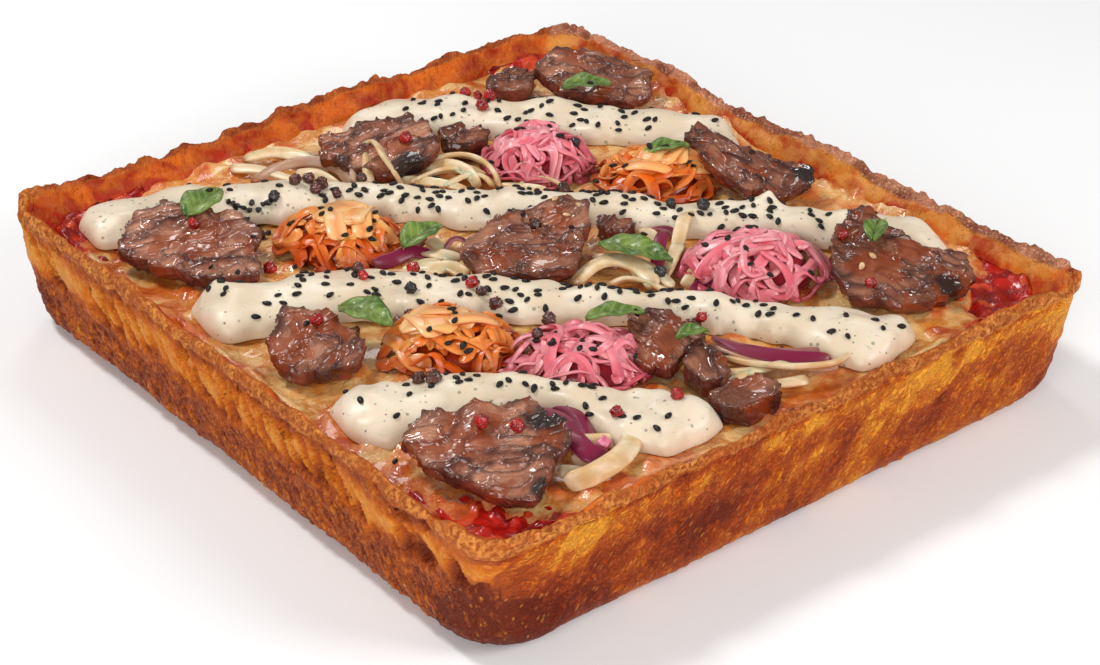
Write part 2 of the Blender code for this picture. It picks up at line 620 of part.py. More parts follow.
def grain(name, place, slope, halfSizes, turn, kind):
    # an ellipsoid of 24 faces that lies on a slope
    around = 6
    angle = np.arange(around) / around * 2 * math.pi
    rings = []
    for level in (-0.5, 0.5):
        flat = math.sqrt(1 - level ** 2)
        rings.append(np.stack([halfSizes[0] * flat * np.cos(angle), halfSizes[1] * flat * np.sin(angle),
                               np.full(around, halfSizes[2] * level)], axis=1))
    corners, faces = loft(rings, (0, 0, -halfSizes[2]), (0, 0, halfSizes[2]))
    upright = Vector(slope)
    lie = upright.to_track_quat("Z", "Y").to_matrix()
    spin = np.array([(math.cos(turn), -math.sin(turn), 0), (math.sin(turn), math.cos(turn), 0), (0, 0, 1)])
    corners = corners @ spin.T @ np.array(lie).T
    return solidObject(name, corners + np.array(place) / metresPerMm, faces, kind)


def seedPlaces(rows, seed):
    # sesame places on a band, kept apart from each other
    draw = np.random.default_rng(seed)
    line = smoothPath(rows, 8 * len(rows))
    places = []
    while len(places) < seedsInSolid:
        along = draw.uniform(rows[0][0] + creamTip / 2, rows[-1][0] - creamTip / 2)
        front = np.interp(along, line[:, 0], line[:, 1])
        back = np.interp(along, line[:, 0], line[:, 2])
        across = draw.uniform(0.2, 0.85)
        spot = (along, front + (back - front) * across, draw.uniform(0, math.pi))
        if all(math.hypot(spot[0] - p[0], spot[1] - p[1]) > seedsApart for p in places):
            places.append(spot)
    return places


def scatter(name, piece, others, seed):
    # fuses the piece's own seeds and peppercorns to it, each clear of every other solid
    kind = piece.data.materials[0].name
    own, rest = surfaceOf([piece]), surfaceOf(others)
    spots = []
    if name in creamBands:
        spots += [(u, v, turn, seedSize) for u, v, turn in seedPlaces(creamBands[name], seed)]
    spots += [(u, v, 0.0, (cornSize,) * 3) for u, v in peppercorns.get(name, [])]
    grains = []
    for u, v, turn, size in spots:
        place, slope = dropOn(own, u, v)
        if place is None or slope.z < 0.5:
            continue
        place = place + slope * size[2] * 0.45 * metresPerMm
        if rest.find_nearest(place)[3] > (max(size) + 2 * touchGap) * metresPerMm:
            grains.append(grain("grain", place, slope, size, turn, kind))
    return joinPieces(name, [piece] + grains, kind) if grains else piece


def leafShape(leaf, along, across):
    # a pointed oval, folded up along its midrib and curled down at both ends
    step = np.linspace(0, 1, along)
    half = leaf["width"] / 2 * np.sin(math.pi * step) ** 0.75 * (1.12 - 0.45 * step)
    side = np.linspace(-1, 1, across)
    x = np.repeat(((step - 0.5) * leaf["length"])[:, None], across, axis=1)
    y = half[:, None] * side
    z = leaf["fold"] * np.abs(y) - 5.5 * (step[:, None] - 0.5) ** 2 + 0.35 * np.sin(2.4 * x / 3 + 2 * side)
    return x, y, z


def buildLeaf(name, leaf, supports):
    # the wavy sheet gets its thickness, is turned, and is let down onto what lies below it
    x, y, z = leafShape(leaf, 7, 3)
    x, y, z = x[1:-1], y[1:-1], z[1:-1]
    turn = math.radians(leaf["turn"])
    u = leaf["place"][0] + x * math.cos(turn) - y * math.sin(turn)
    v = leaf["place"][1] + x * math.sin(turn) + y * math.cos(turn)
    surface = surfaceOf(supports)
    need = []
    for a, b, lift in zip(u.ravel(), v.ravel(), z.ravel()):
        place = dropOn(surface, a, b)[0]
        need.append(place.z / metresPerMm - lift)
    base = max(need) + touchGap
    top = np.stack([*toPizza(u, v), z + base + leafThick], axis=2)
    low = top - np.array((0, 0, leafThick))
    rings = np.concatenate([top, low[:, ::-1]], axis=1)
    ends = []
    for side, ring in ((-0.5, rings[0]), (0.5, rings[-1])):
        tipU = leaf["place"][0] + side * leaf["length"] * math.cos(turn)
        tipV = leaf["place"][1] + side * leaf["length"] * math.sin(turn)
        ends.append((*toPizza(tipU, tipV), ring[:, 2].mean() - leafThick))
    corners, faces = loft(rings, *ends)
    while touches(surface, corners, faces):
        corners[:, 2] += touchGap
    corners[:, 2] += touchGap
    return solidObject(name, corners, faces, "basil")


def touches(surface, corners, faces):
    # whether a shape in millimetres cuts through a surface
    shape = BVHTree.FromPolygons((corners * metresPerMm).tolist(), faces)
    return bool(surface.overlap(shape))


def buildHeap(name, heap):
    # a smaller core with its topmost shreds fused on
    kind = shredKinds[heap["kind"]]
    coreRadii = [radius * heapCore for radius in heap["radii"]]
    core = domeRings(heap["middle"], coreRadii, heap["height"] * heapCore, 11, 3)
    pieces = [solidObject(name, *core, heap["kind"])]
    for number, path in enumerate(shredPaths(heap, kind["inSolid"], 5)):
        width = kind["wideWidth"] if number < kind["wide"] else kind["width"]
        pieces.append(stripSolid("shred", path, width, kind["thick"], 3, heap["kind"]))
    return joinPieces(name, pieces, heap["kind"])


def roomForHeap(name, heap):
    envelope = domeRings(heap["middle"], heap["radii"], heap["height"], 16, 4, touchGap)
    return solidObject(name + "_room", *envelope, heap["kind"])


def buildOnion(name, bundle, grow=0.0):
    # a low core with its strands fused on; grow makes all of it a little larger
    coreU, coreV, coreA, coreB = bundle["core"]
    core = domeRings((coreU, coreV), (coreA, coreB), onionCoreHeight, 10, 2, grow)
    pieces = [solidObject(name, *core, "onion")]
    for points, thick, arch in bundle["strands"]:
        line = smoothPath(points, 7)
        z = restZ + thick * 0.55 + arch * np.sin(math.pi * np.linspace(0, 1, 7))
        path = np.stack([*insideWall(*toPizza(*line.T), 2.5), z], axis=1)
        sides = 5 if grow else 4
        pieces.append(stripSolid("strand", path, thick * 1.1 + 2 * grow, thick + 2 * grow, sides, "onion"))
    return joinPieces(name, pieces, "onion")


def main():
    clearScene()
    filling = {"crust": buildCrust(), "sauce": buildSauce(), "cheese": buildCheese()}
    beef = {name: buildBeef(name, piece) for name, piece in beefPieces.items()}

    # a room is a slightly larger copy, which is taken out of what lies against the piece
    room = [buildBeef(name + "_room", piece, touchGap) for name, piece in beefPieces.items()]
    piles = {name: carve(name, buildHeap(name, heap), room, heap["kind"]) for name, heap in heaps.items()}
    room += [roomForHeap(name, heap) for name, heap in heaps.items()]
    onions = {}
    for name, bundle in onionBundles.items():
        onions[name] = carve(name, buildOnion(name, bundle), room, "onion")
    room += [buildOnion(name + "_room", bundle, onionRoom) for name, bundle in onionBundles.items()]
    bands = {name: carve(name, buildBand(name, rows), room, "cream") for name, rows in creamBands.items()}
    for cutter in room:
        bpy.data.objects.remove(cutter, do_unlink=True)

    toppings = {**beef, **piles, **onions, **bands}
    for number, name in enumerate({**creamBands, **peppercorns}):
        others = [piece for other, piece in toppings.items() if other != name]
        toppings[name] = scatter(name, toppings[name], others + list(filling.values()), 60 + number)

    leaves = {}
    for name, leaf in basilLeaves.items():
        supports = list(toppings.values()) + list(leaves.values()) + [filling["cheese"], filling["crust"]]
        leaves[name] = buildLeaf(name, leaf, supports)


main()
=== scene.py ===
# The looks of a detroit-style pizza: crust, sauce, cheese, cream bands, beef, kimchi, pink pickle,
# onion, basil, sesame and peppercorns. Shapes are worked out in millimetres and stored in metres.
# Toppings are laid out in the stripe frame (u, v): u runs along the cream bands and v across them.
import math

import bpy
import numpy as np
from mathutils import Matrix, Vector
from mathutils.bvhtree import BVHTree


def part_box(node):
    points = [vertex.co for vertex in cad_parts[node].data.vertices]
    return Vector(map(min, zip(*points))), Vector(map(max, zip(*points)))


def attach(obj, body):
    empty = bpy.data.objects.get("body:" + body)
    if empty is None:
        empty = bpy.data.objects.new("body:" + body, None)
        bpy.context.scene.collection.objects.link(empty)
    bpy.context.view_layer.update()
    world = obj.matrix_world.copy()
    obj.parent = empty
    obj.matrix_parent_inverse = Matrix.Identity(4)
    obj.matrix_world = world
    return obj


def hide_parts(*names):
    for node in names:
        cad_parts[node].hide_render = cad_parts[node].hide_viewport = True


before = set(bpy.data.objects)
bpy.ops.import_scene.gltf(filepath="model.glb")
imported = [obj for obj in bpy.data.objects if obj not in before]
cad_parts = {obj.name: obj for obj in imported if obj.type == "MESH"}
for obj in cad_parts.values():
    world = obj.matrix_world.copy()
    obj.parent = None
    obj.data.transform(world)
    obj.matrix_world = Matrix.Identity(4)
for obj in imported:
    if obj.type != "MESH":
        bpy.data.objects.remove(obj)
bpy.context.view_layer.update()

mm = 0.001
stripeTurn = math.radians(39.0)          # from the pizza's X axis to the cream bands
latticePrimes = (374761393, 668265263, 2147483647)
stirring, latticeTop = 1274126177, 0xFFFFFF


def turned(x, y, angle):
    # a place turned round the origin
    return x * math.cos(angle) - y * math.sin(angle), x * math.sin(angle) + y * math.cos(angle)


def toPizza(u, v):
    # turns the stripe frame back into the pizza's X and Y
    return turned(u, v, -stripeTurn)


# Noise and curves: every function takes whole arrays, and the seed picks the pattern.

def ripple(x, y, wavelength, seed):
    # six sine waves of about one wavelength in seeded directions, added up: about -1 to 1
    draw = np.random.default_rng(seed)
    total = 0.0
    for wave in range(6):
        angle, phase = draw.uniform(0, 2 * math.pi, 2)
        rate = 2 * math.pi / (wavelength * draw.uniform(0.7, 1.4))
        total = total + np.sin(rate * (x * math.cos(angle) + y * math.sin(angle)) + phase)
    return total / 3.2


def latticeValue(cell, salt):
    # a number from 0 to 1 for every cube of a lattice, stirred together from its three whole coordinates
    mixed = cell[..., 0] * latticePrimes[0] + cell[..., 1] * latticePrimes[1]
    mixed = mixed + cell[..., 2] * latticePrimes[2] + salt * stirring
    mixed = (mixed ^ (mixed >> 13)) * stirring
    return ((mixed ^ (mixed >> 16)) & latticeTop) / float(latticeTop)


def softNoise(points, size, seed):
    # heights on the corners of a lattice of cubes, blended smoothly between them: -1 to 1
    grid = points / size
    low = np.floor(grid)
    share = grid - low
    share = share * share * (3 - 2 * share)
    low = low.astype(np.int64)
    total = 0.0
    for corner in range(8):
        step = np.array((corner & 1, corner >> 1 & 1, corner >> 2 & 1))
        weight = np.prod(np.where(step == 1, share, 1 - share), axis=-1)
        total = total + weight * latticeValue(low + step, seed)
    return total * 2 - 1


def layeredNoise(points, size, seed, layers=3):
    # soft noise at several sizes, each half as wide and half as high as the one before
    total = 0.0
    for layer in range(layers):
        total = total + softNoise(points, size / 2 ** layer, seed + layer) / 2 ** layer
    return total


def cellNoise(points, size, seed):
    # distances to the nearest and second nearest of one seeded point in every lattice cube
    grid = points / size
    low = np.floor(grid).astype(np.int64)
    near = np.full(grid.shape[:-1], 9.0)
    second = near.copy()
    for neighbour in range(27):
        cell = low + np.array((neighbour % 3 - 1, neighbour // 3 % 3 - 1, neighbour // 9 - 1))
        spot = np.stack([latticeValue(cell, seed + k) for k in (11, 23, 37)], axis=-1) + cell
        away = np.sqrt(((spot - grid) ** 2).sum(axis=-1))
        second = np.minimum(second, np.maximum(near, away))
        near = np.minimum(near, away)
    return near, second


def smoothStep(value, low, high):
    # 0 below low, 1 above high, and a soft curve between
    share = np.clip((value - low) / (high - low), 0, 1)
    return share * share * (3 - 2 * share)


def smoothPath(points, count):
    # a Catmull-Rom curve through the points, read at even steps
    points = np.asarray(points, float)
    last = len(points) - 1
    steps = np.linspace(0, last, count)
    at = np.minimum(steps.astype(int), last - 1)
    share = (steps - at)[:, None]
    a, b, c, d = (points[np.clip(at + k, 0, last)] for k in (-1, 0, 1, 2))
    return 0.5 * (2 * b + (c - a) * share + (2 * a - 5 * b + 4 * c - d) * share ** 2
                  + (3 * b - a - 3 * c + d) * share ** 3)


# Meshes: grids of points become closed pieces.

def gridNormals(grid):
    # the cross product of the steps along rows and columns, on a grid that closes round its columns
    across = np.roll(grid, -1, axis=1) - np.roll(grid, 1, axis=1)
    along = np.gradient(grid, axis=0)
    normal = np.cross(across, along)
    return normal / np.maximum(np.linalg.norm(normal, axis=-1), 1e-9)[..., None]


def closedPiece(name, grids, firstPoles, lastPoles, material, values=None):
    # bodies of equal grids, each closed round its columns and ended by a pole at both ends
    grids = np.asarray(grids, float)
    bodies, rows, columns = grids.shape[:3]
    each = rows * columns + 2
    corners = np.concatenate([np.reshape(firstPoles, (bodies, 1, 3)), grids.reshape(bodies, -1, 3),
                              np.reshape(lastPoles, (bodies, 1, 3))], axis=1)
    here = np.arange(columns)
    after = np.roll(here, -1)
    row = np.arange(rows - 1)[:, None] * columns
    quads = np.stack([1 + row + here, 1 + row + after, 1 + row + columns + after, 1 + row + columns + here],
                     axis=-1).reshape(-1, 4)
    last = 1 + (rows - 1) * columns
    fans = np.concatenate([np.stack([0 * here, 1 + after, 1 + here], axis=-1),
                           np.stack([0 * here + each - 1, last + here, last + after], axis=-1)])
    shift = (np.arange(bodies) * each)[:, None, None]
    quads = (quads[None] + shift).reshape(-1, 4)
    fans = (fans[None] + shift).reshape(-1, 3)
    a, b, c, d = (corners.reshape(-1, 3)[quads[:, k]] for k in range(4))
    if (np.einsum("ij,ij->i", a + b + c + d, np.cross(c - a, d - b))).sum() < 0:
        quads, fans = quads[:, ::-1], fans[:, ::-1]
    return meshPiece(name, corners.reshape(-1, 3), quads.tolist() + fans.tolist(), material, values,
                     (bodies, each))


def singlePiece(name, grid, material, values=None):
    # one body from one grid, with its poles in the middle of its first and last rings
    return closedPiece(name, grid[None], [grid[0].mean(axis=0)], [grid[-1].mean(axis=0)], material, values)


def meshPiece(name, corners, faces, material, values=None, layout=None):
    # a mesh object at the origin; values are named numbers for every point, padded at the poles
    mesh = bpy.data.meshes.new(name)
    mesh.from_pydata((corners * mm).tolist(), [], faces)
    mesh.shade_smooth()
    for key, value in (values or {}).items():
        column = np.zeros(len(corners), np.float32)
        if layout:
            bodies, each = layout
            flat = np.asarray(value, float).reshape(bodies, -1)
            column = np.concatenate([flat[:, :1], flat, flat[:, -1:]], axis=1).ravel()
        else:
            column[:len(np.ravel(value))] = np.ravel(value)
        mesh.attributes.new(key, "FLOAT", "POINT").data.foreach_set("value", column.astype(np.float32))
    mesh.materials.append(material)
    piece = bpy.data.objects.new(name, mesh)
    bpy.context.scene.collection.objects.link(piece)
    return piece


def serve(piece, slot, *nodes):
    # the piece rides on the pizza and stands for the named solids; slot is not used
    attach(piece, "root")
    if nodes:
        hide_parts(*nodes)
    return piece


# Shader groups, each built once: they put out masks and heights only.

def nodeInput(node, name, value):
    # links another node's output, or sets a plain value
    if isinstance(value, bpy.types.NodeSocket):
        node.id_data.links.new(value, node.inputs[name])
    else:
        node.inputs[name].default_value = value


def addNode(tree, kind, settings=(), **inputs):
    # a node with its settings and inputs; i0, i1 and so on name an input by its number
    node = tree.nodes.new(kind)
    for key, value in settings:
        setattr(node, key, value)
    for key, value in inputs.items():
        nodeInput(node, int(key[1:]) if key[0] == "i" and key[1:].isdigit() else key, value)
    return node


def addMath(tree, operation, first, second):
    return addNode(tree, "ShaderNodeMath", [("operation", operation)], i0=first, i1=second).outputs[0]


def newGroup(name, output, **settings):
    # a group with a place to read, its named settings and one number put out
    tree = bpy.data.node_groups.new(name, "ShaderNodeTree")
    tree.interface.new_socket("Vector", in_out="INPUT", socket_type="NodeSocketVector")
    for label, value in settings.items():
        kind = "NodeSocketVector" if isinstance(value, tuple) else "NodeSocketFloat"
        tree.interface.new_socket(label, in_out="INPUT", socket_type=kind).default_value = value
    tree.interface.new_socket(output, in_out="OUTPUT", socket_type="NodeSocketFloat")
    return tree, tree.nodes.new("NodeGroupInput").outputs, tree.nodes.new("NodeGroupOutput").inputs


def makeBlotchGroup():
    # noise cut to a mask between two levels: soft patches of any size
    tree, given, result = newGroup("blotches", "Mask", Scale=100.0, Detail=3.0, Warp=0.5, Low=0.4, High=0.6)
    noise = addNode(tree, "ShaderNodeTexNoise", Vector=given["Vector"], Scale=given["Scale"],
                    Detail=given["Detail"], Distortion=given["Warp"])
    mask = addNode(tree, "ShaderNodeMapRange", [("interpolation_type", "SMOOTHSTEP")],
                   Value=noise.outputs[0], i1=given["Low"], i2=given["High"])
    tree.links.new(mask.outputs[0], result["Mask"])
    return tree


def makeFleckGroup():
    # small dots: the distance to a seeded point in every cell, kept in a share of the cells
    tree, given, result = newGroup("flecks", "Mask", Scale=300.0, Size=0.2, Share=0.5)
    cells = addNode(tree, "ShaderNodeTexVoronoi", Vector=given["Vector"], Scale=given["Scale"])
    edge = addMath(tree, "MULTIPLY", given["Size"], 0.6)
    dot = addNode(tree, "ShaderNodeMapRange", Value=cells.outputs["Distance"], i1=given["Size"], i2=edge)
    pick = addNode(tree, "ShaderNodeSeparateColor", Color=cells.outputs["Color"])
    kept = addMath(tree, "LESS_THAN", pick.outputs[0], given["Share"])
    tree.links.new(addMath(tree, "MULTIPLY", dot.outputs[0], kept), result["Mask"])
    return tree


def makeFibreGroup():
    # noise stretched along one way of the vector: streaks and fibres
    tree, given, result = newGroup("fibres", "Height", Scale=300.0, Stretch=(1.0, 1.0, 0.2))
    stretched = addNode(tree, "ShaderNodeVectorMath", [("operation", "MULTIPLY")], i0=given["Vector"],
                        i1=given["Stretch"])
    noise = addNode(tree, "ShaderNodeTexNoise", Vector=stretched.outputs[0], Scale=given["Scale"],
                    Detail=3.0, Distortion=0.4)
    tree.links.new(noise.outputs[0], result["Height"])
    return tree


blotches, flecks, fibres = makeBlotchGroup(), makeFleckGroup(), makeFibreGroup()


def paint(red, green, blue):
    # a colour as it looks on a screen, 0 to 255, turned into the shader's linear values
    share = np.array((red, green, blue)) / 255
    linear = np.where(share <= 0.04045, share / 12.92, ((share + 0.055) / 1.055) ** 2.4)
    return (*linear.tolist(), 1.0)


class Finish:
    # one material: a Principled shader, with short ways to add masks, colours and relief to it
    def __init__(self, name, roughness, **constants):
        self.material = bpy.data.materials.new(name)
        self.material.use_nodes = True
        self.tree = self.material.node_tree
        self.shader = self.tree.nodes["Principled BSDF"]
        self.shader.inputs["Roughness"].default_value = roughness
        for key, value in constants.items():
            self.shader.inputs[key.replace("_", " ")].default_value = value
        self.place = addNode(self.tree, "ShaderNodeTexCoord").outputs["Object"]

    def group(self, kind, **inputs):
        # one of the shader groups, read at the object's own place unless another is given
        node = self.tree.nodes.new("ShaderNodeGroup")
        node.node_tree = kind
        nodeInput(node, "Vector", inputs.pop("Vector", self.place))
        for key, value in inputs.items():
            nodeInput(node, key, value)
        return node.outputs[0]

    def value(self, name):
        # a number that the mesh holds for every point
        return addNode(self.tree, "ShaderNodeAttribute", [("attribute_name", name)]).outputs["Fac"]

    def mix(self, factor, low, high):
        node = addNode(self.tree, "ShaderNodeMix", [("data_type", "RGBA")])
        nodeInput(node, 0, factor)
        nodeInput(node, 6, low)
        nodeInput(node, 7, high)
        return node.outputs[2]

    def lay(self, colour, mask, share, tone):
        # the tone over the colour where the mask is, at a share of its full strength
        return self.mix(self.times(mask, share), colour, tone)

    def times(self, first, second):
        return addMath(self.tree, "MULTIPLY", first, second)

    def plus(self, first, second):
        return addMath(self.tree, "ADD", first, second)

    def around(self, value, reach):
        # the value's distance from one half, times the reach
        return self.times(self.plus(value, -0.5), reach)

    def between(self, value, low, high, start=0.0, end=1.0):
        # start at low, end at high and a straight line between
        node = addNode(self.tree, "ShaderNodeMapRange", Value=value, i1=low, i2=high, i3=start, i4=end)
        return node.outputs[0]

    def done(self, colour, height=None, distance=0.0003, roughness=None):
        nodeInput(self.shader, "Base Color", colour)
        if roughness is not None:
            nodeInput(self.shader, "Roughness", roughness)
        if height is not None:
            bump = addNode(self.tree, "ShaderNodeBump", Height=height, Distance=distance)
            nodeInput(self.shader, "Normal", bump.outputs[0])
        return self.material


# The crust: foot, outer wall, crest, inner wall and bed as one sheet carried round the pizza. The last
# values are its steps along each side and round each corner, and the size of a step up the profile.
crust = dict(width=254.0, length=273.0, height=44.4, draft=2.0, footRadius=10.2, cornerRim=10.6,
             cornerInner=11.0, cornerFoot=24.3, rimNear=3.6, rimFar=6.4, innerSlope=5.0, bed=31.0,
             crestRise=1.3, lumpDepth=0.9, perX=240, perY=260, perCorner=22, step=0.85)
# The filling: its levels, the cheese's grid, and the places (u, v) of large blisters and pools of oil.
cheese = dict(top=36.5, bottom=34.35, columns=210, rows=226, cornerCut=40.0)
sauceLevel = 34.4
cheeseBlisters = [(-11, -146), (17, -142), (35, -128), (-38, -128), (115, 44), (106, 56), (-102, 76),
                  (-108, 64), (-74, -50), (149, -30), (74, -94), (-108, -28)]
cheeseOil = [(-22, -141), (-54, -87), (-100, -19), (-30, -134), (-63, -83), (-90, 40), (90, -84)]
restZ = cheese["top"] + 0.35             # the level that the toppings stand on


def loopStations():
    # every station is a corner's number, a share of its quarter turn and a share of the run after it
    rows = []
    for corner in range(4):
        run = crust["perX"] if corner % 2 == 0 else crust["perY"]
        rows += [(corner, k / crust["perCorner"], 0.0) for k in range(crust["perCorner"] + 1)]
        rows += [(corner, 1.0, k / run) for k in range(1, run)]
    return np.array(rows)


def loopPoints(stations, inset, radius):
    # a rectangle with round corners, inset from the crust's widest outline, with its outward directions
    reachX = crust["width"] / 2 - inset - radius
    reachY = crust["length"] / 2 - inset - radius
    corner = stations[:, 0].astype(int)
    turn, run = stations[:, 1], stations[:, 2]
    sideX, sideY = np.array([(1, 1), (-1, 1), (-1, -1), (1, -1)])[corner].T
    nextX, nextY = np.array([(-1, 1), (-1, -1), (1, -1), (1, 1)])[corner].T
    angle = (corner + turn) * math.pi / 2
    x = (sideX + (nextX - sideX) * run) * reachX + radius * np.cos(angle)
    y = (sideY + (nextY - sideY) * run) * reachY + radius * np.sin(angle)
    return x, y, np.cos(angle), np.sin(angle)


def cornerRadius(z):
    # the outline's corners are rounder at the foot than at the rim, in a straight line between
    return crust["cornerFoot"] + (crust["cornerRim"] - crust["cornerFoot"]) * z / crust["height"]


def rimWidth(x, y, outX, outY):
    # the rim is thicker on the two sides at +X and +Y
    far = np.clip(0.5 + 0.5 * (outX + outY) * 1.4, 0, 1)
    return crust["rimNear"] + (crust["rimFar"] - crust["rimNear"]) * far + 0.9 * ripple(x, y, 34, 3)


def crustRing(stations, inset, z, radius, lump=0.0, rise=0.0):
    # one ring of the crust: lump dents it inwards, rise makes its height uneven
    x, y, outX, outY = loopPoints(stations, inset, radius)
    dent = lump * np.abs(ripple(x, y, 17, 5))
    height = z + rise * (ripple(x, y, 52, 6) + 0.8 * ripple(x, y, 15, 7))
    return np.stack([x - dent * outX, y - dent * outY, height + 0 * x], axis=1)


def bedInset():
    # from the widest outline to the filling's edge
    return crust["rimFar"] + crust["innerSlope"] + 1.2


def crustSheet(stations):
    # the profile's key rings, read again at even steps with their bends rounded
    height, draft, foot = crust["height"], crust["draft"], crust["footRadius"]
    lump, rise = crust["lumpDepth"], crust["crestRise"]
    rimCorner, innerCorner = crust["cornerRim"], crust["cornerInner"]
    rings = []
    for bend in np.radians(np.linspace(0, 90, 9)):
        level = foot * (1 - math.cos(bend))
        inset = foot * (1 - math.sin(bend))
        rings.append(crustRing(stations, draft * (1 - level / height) + inset, level,
                               cornerRadius(level) - inset))
    for share, depth in ((0.55, 0.6), (0.88, 0.8)):
        level = height * share
        rings.append(crustRing(stations, draft * (1 - share), level, cornerRadius(level), lump * depth))
    rim = rimWidth(*loopPoints(stations, 0.0, rimCorner))
    crestRing = len(rings) + 1
    rings += [crustRing(stations, 0.0, height - 2.0, rimCorner, lump, rise * 0.8),
              crustRing(stations, rim * 0.12, height - 0.5, rimCorner, lump, rise),
              crustRing(stations, rim * 0.5, height, rimCorner, lump, rise),
              crustRing(stations, rim, height - 1.6, rimCorner, 0.0, rise),
              crustRing(stations, rim + crust["innerSlope"] * 0.55, height - 5.5, innerCorner),
              crustRing(stations, bedInset(), crust["bed"], innerCorner)]
    rings = np.array(rings)
    travel = np.linalg.norm(np.diff(rings, axis=0), axis=-1).mean(axis=1)
    travel = np.concatenate([[0], np.cumsum(travel)])
    steps = np.linspace(0, travel[-1], int(travel[-1] / crust["step"]))
    at = np.clip(np.searchsorted(travel, steps, side="right") - 1, 0, len(travel) - 2)
    share = ((steps - travel[at]) / (travel[at + 1] - travel[at]))[:, None, None]
    sheet = rings[at] * (1 - share) + rings[at + 1] * share
    for smoothing in range(2):
        sheet[1:-1] = (sheet[:-2] + 2 * sheet[1:-1] + sheet[2:]) / 4
    return sheet, travel[crestRing] / travel[-1]


def wallLean(x, y, z):
    # a place along the walls: it slips to the right going down on the left wall, and going up on the next
    return x - y - 0.7 * z * np.tanh((x - y - 9.5) / 32)


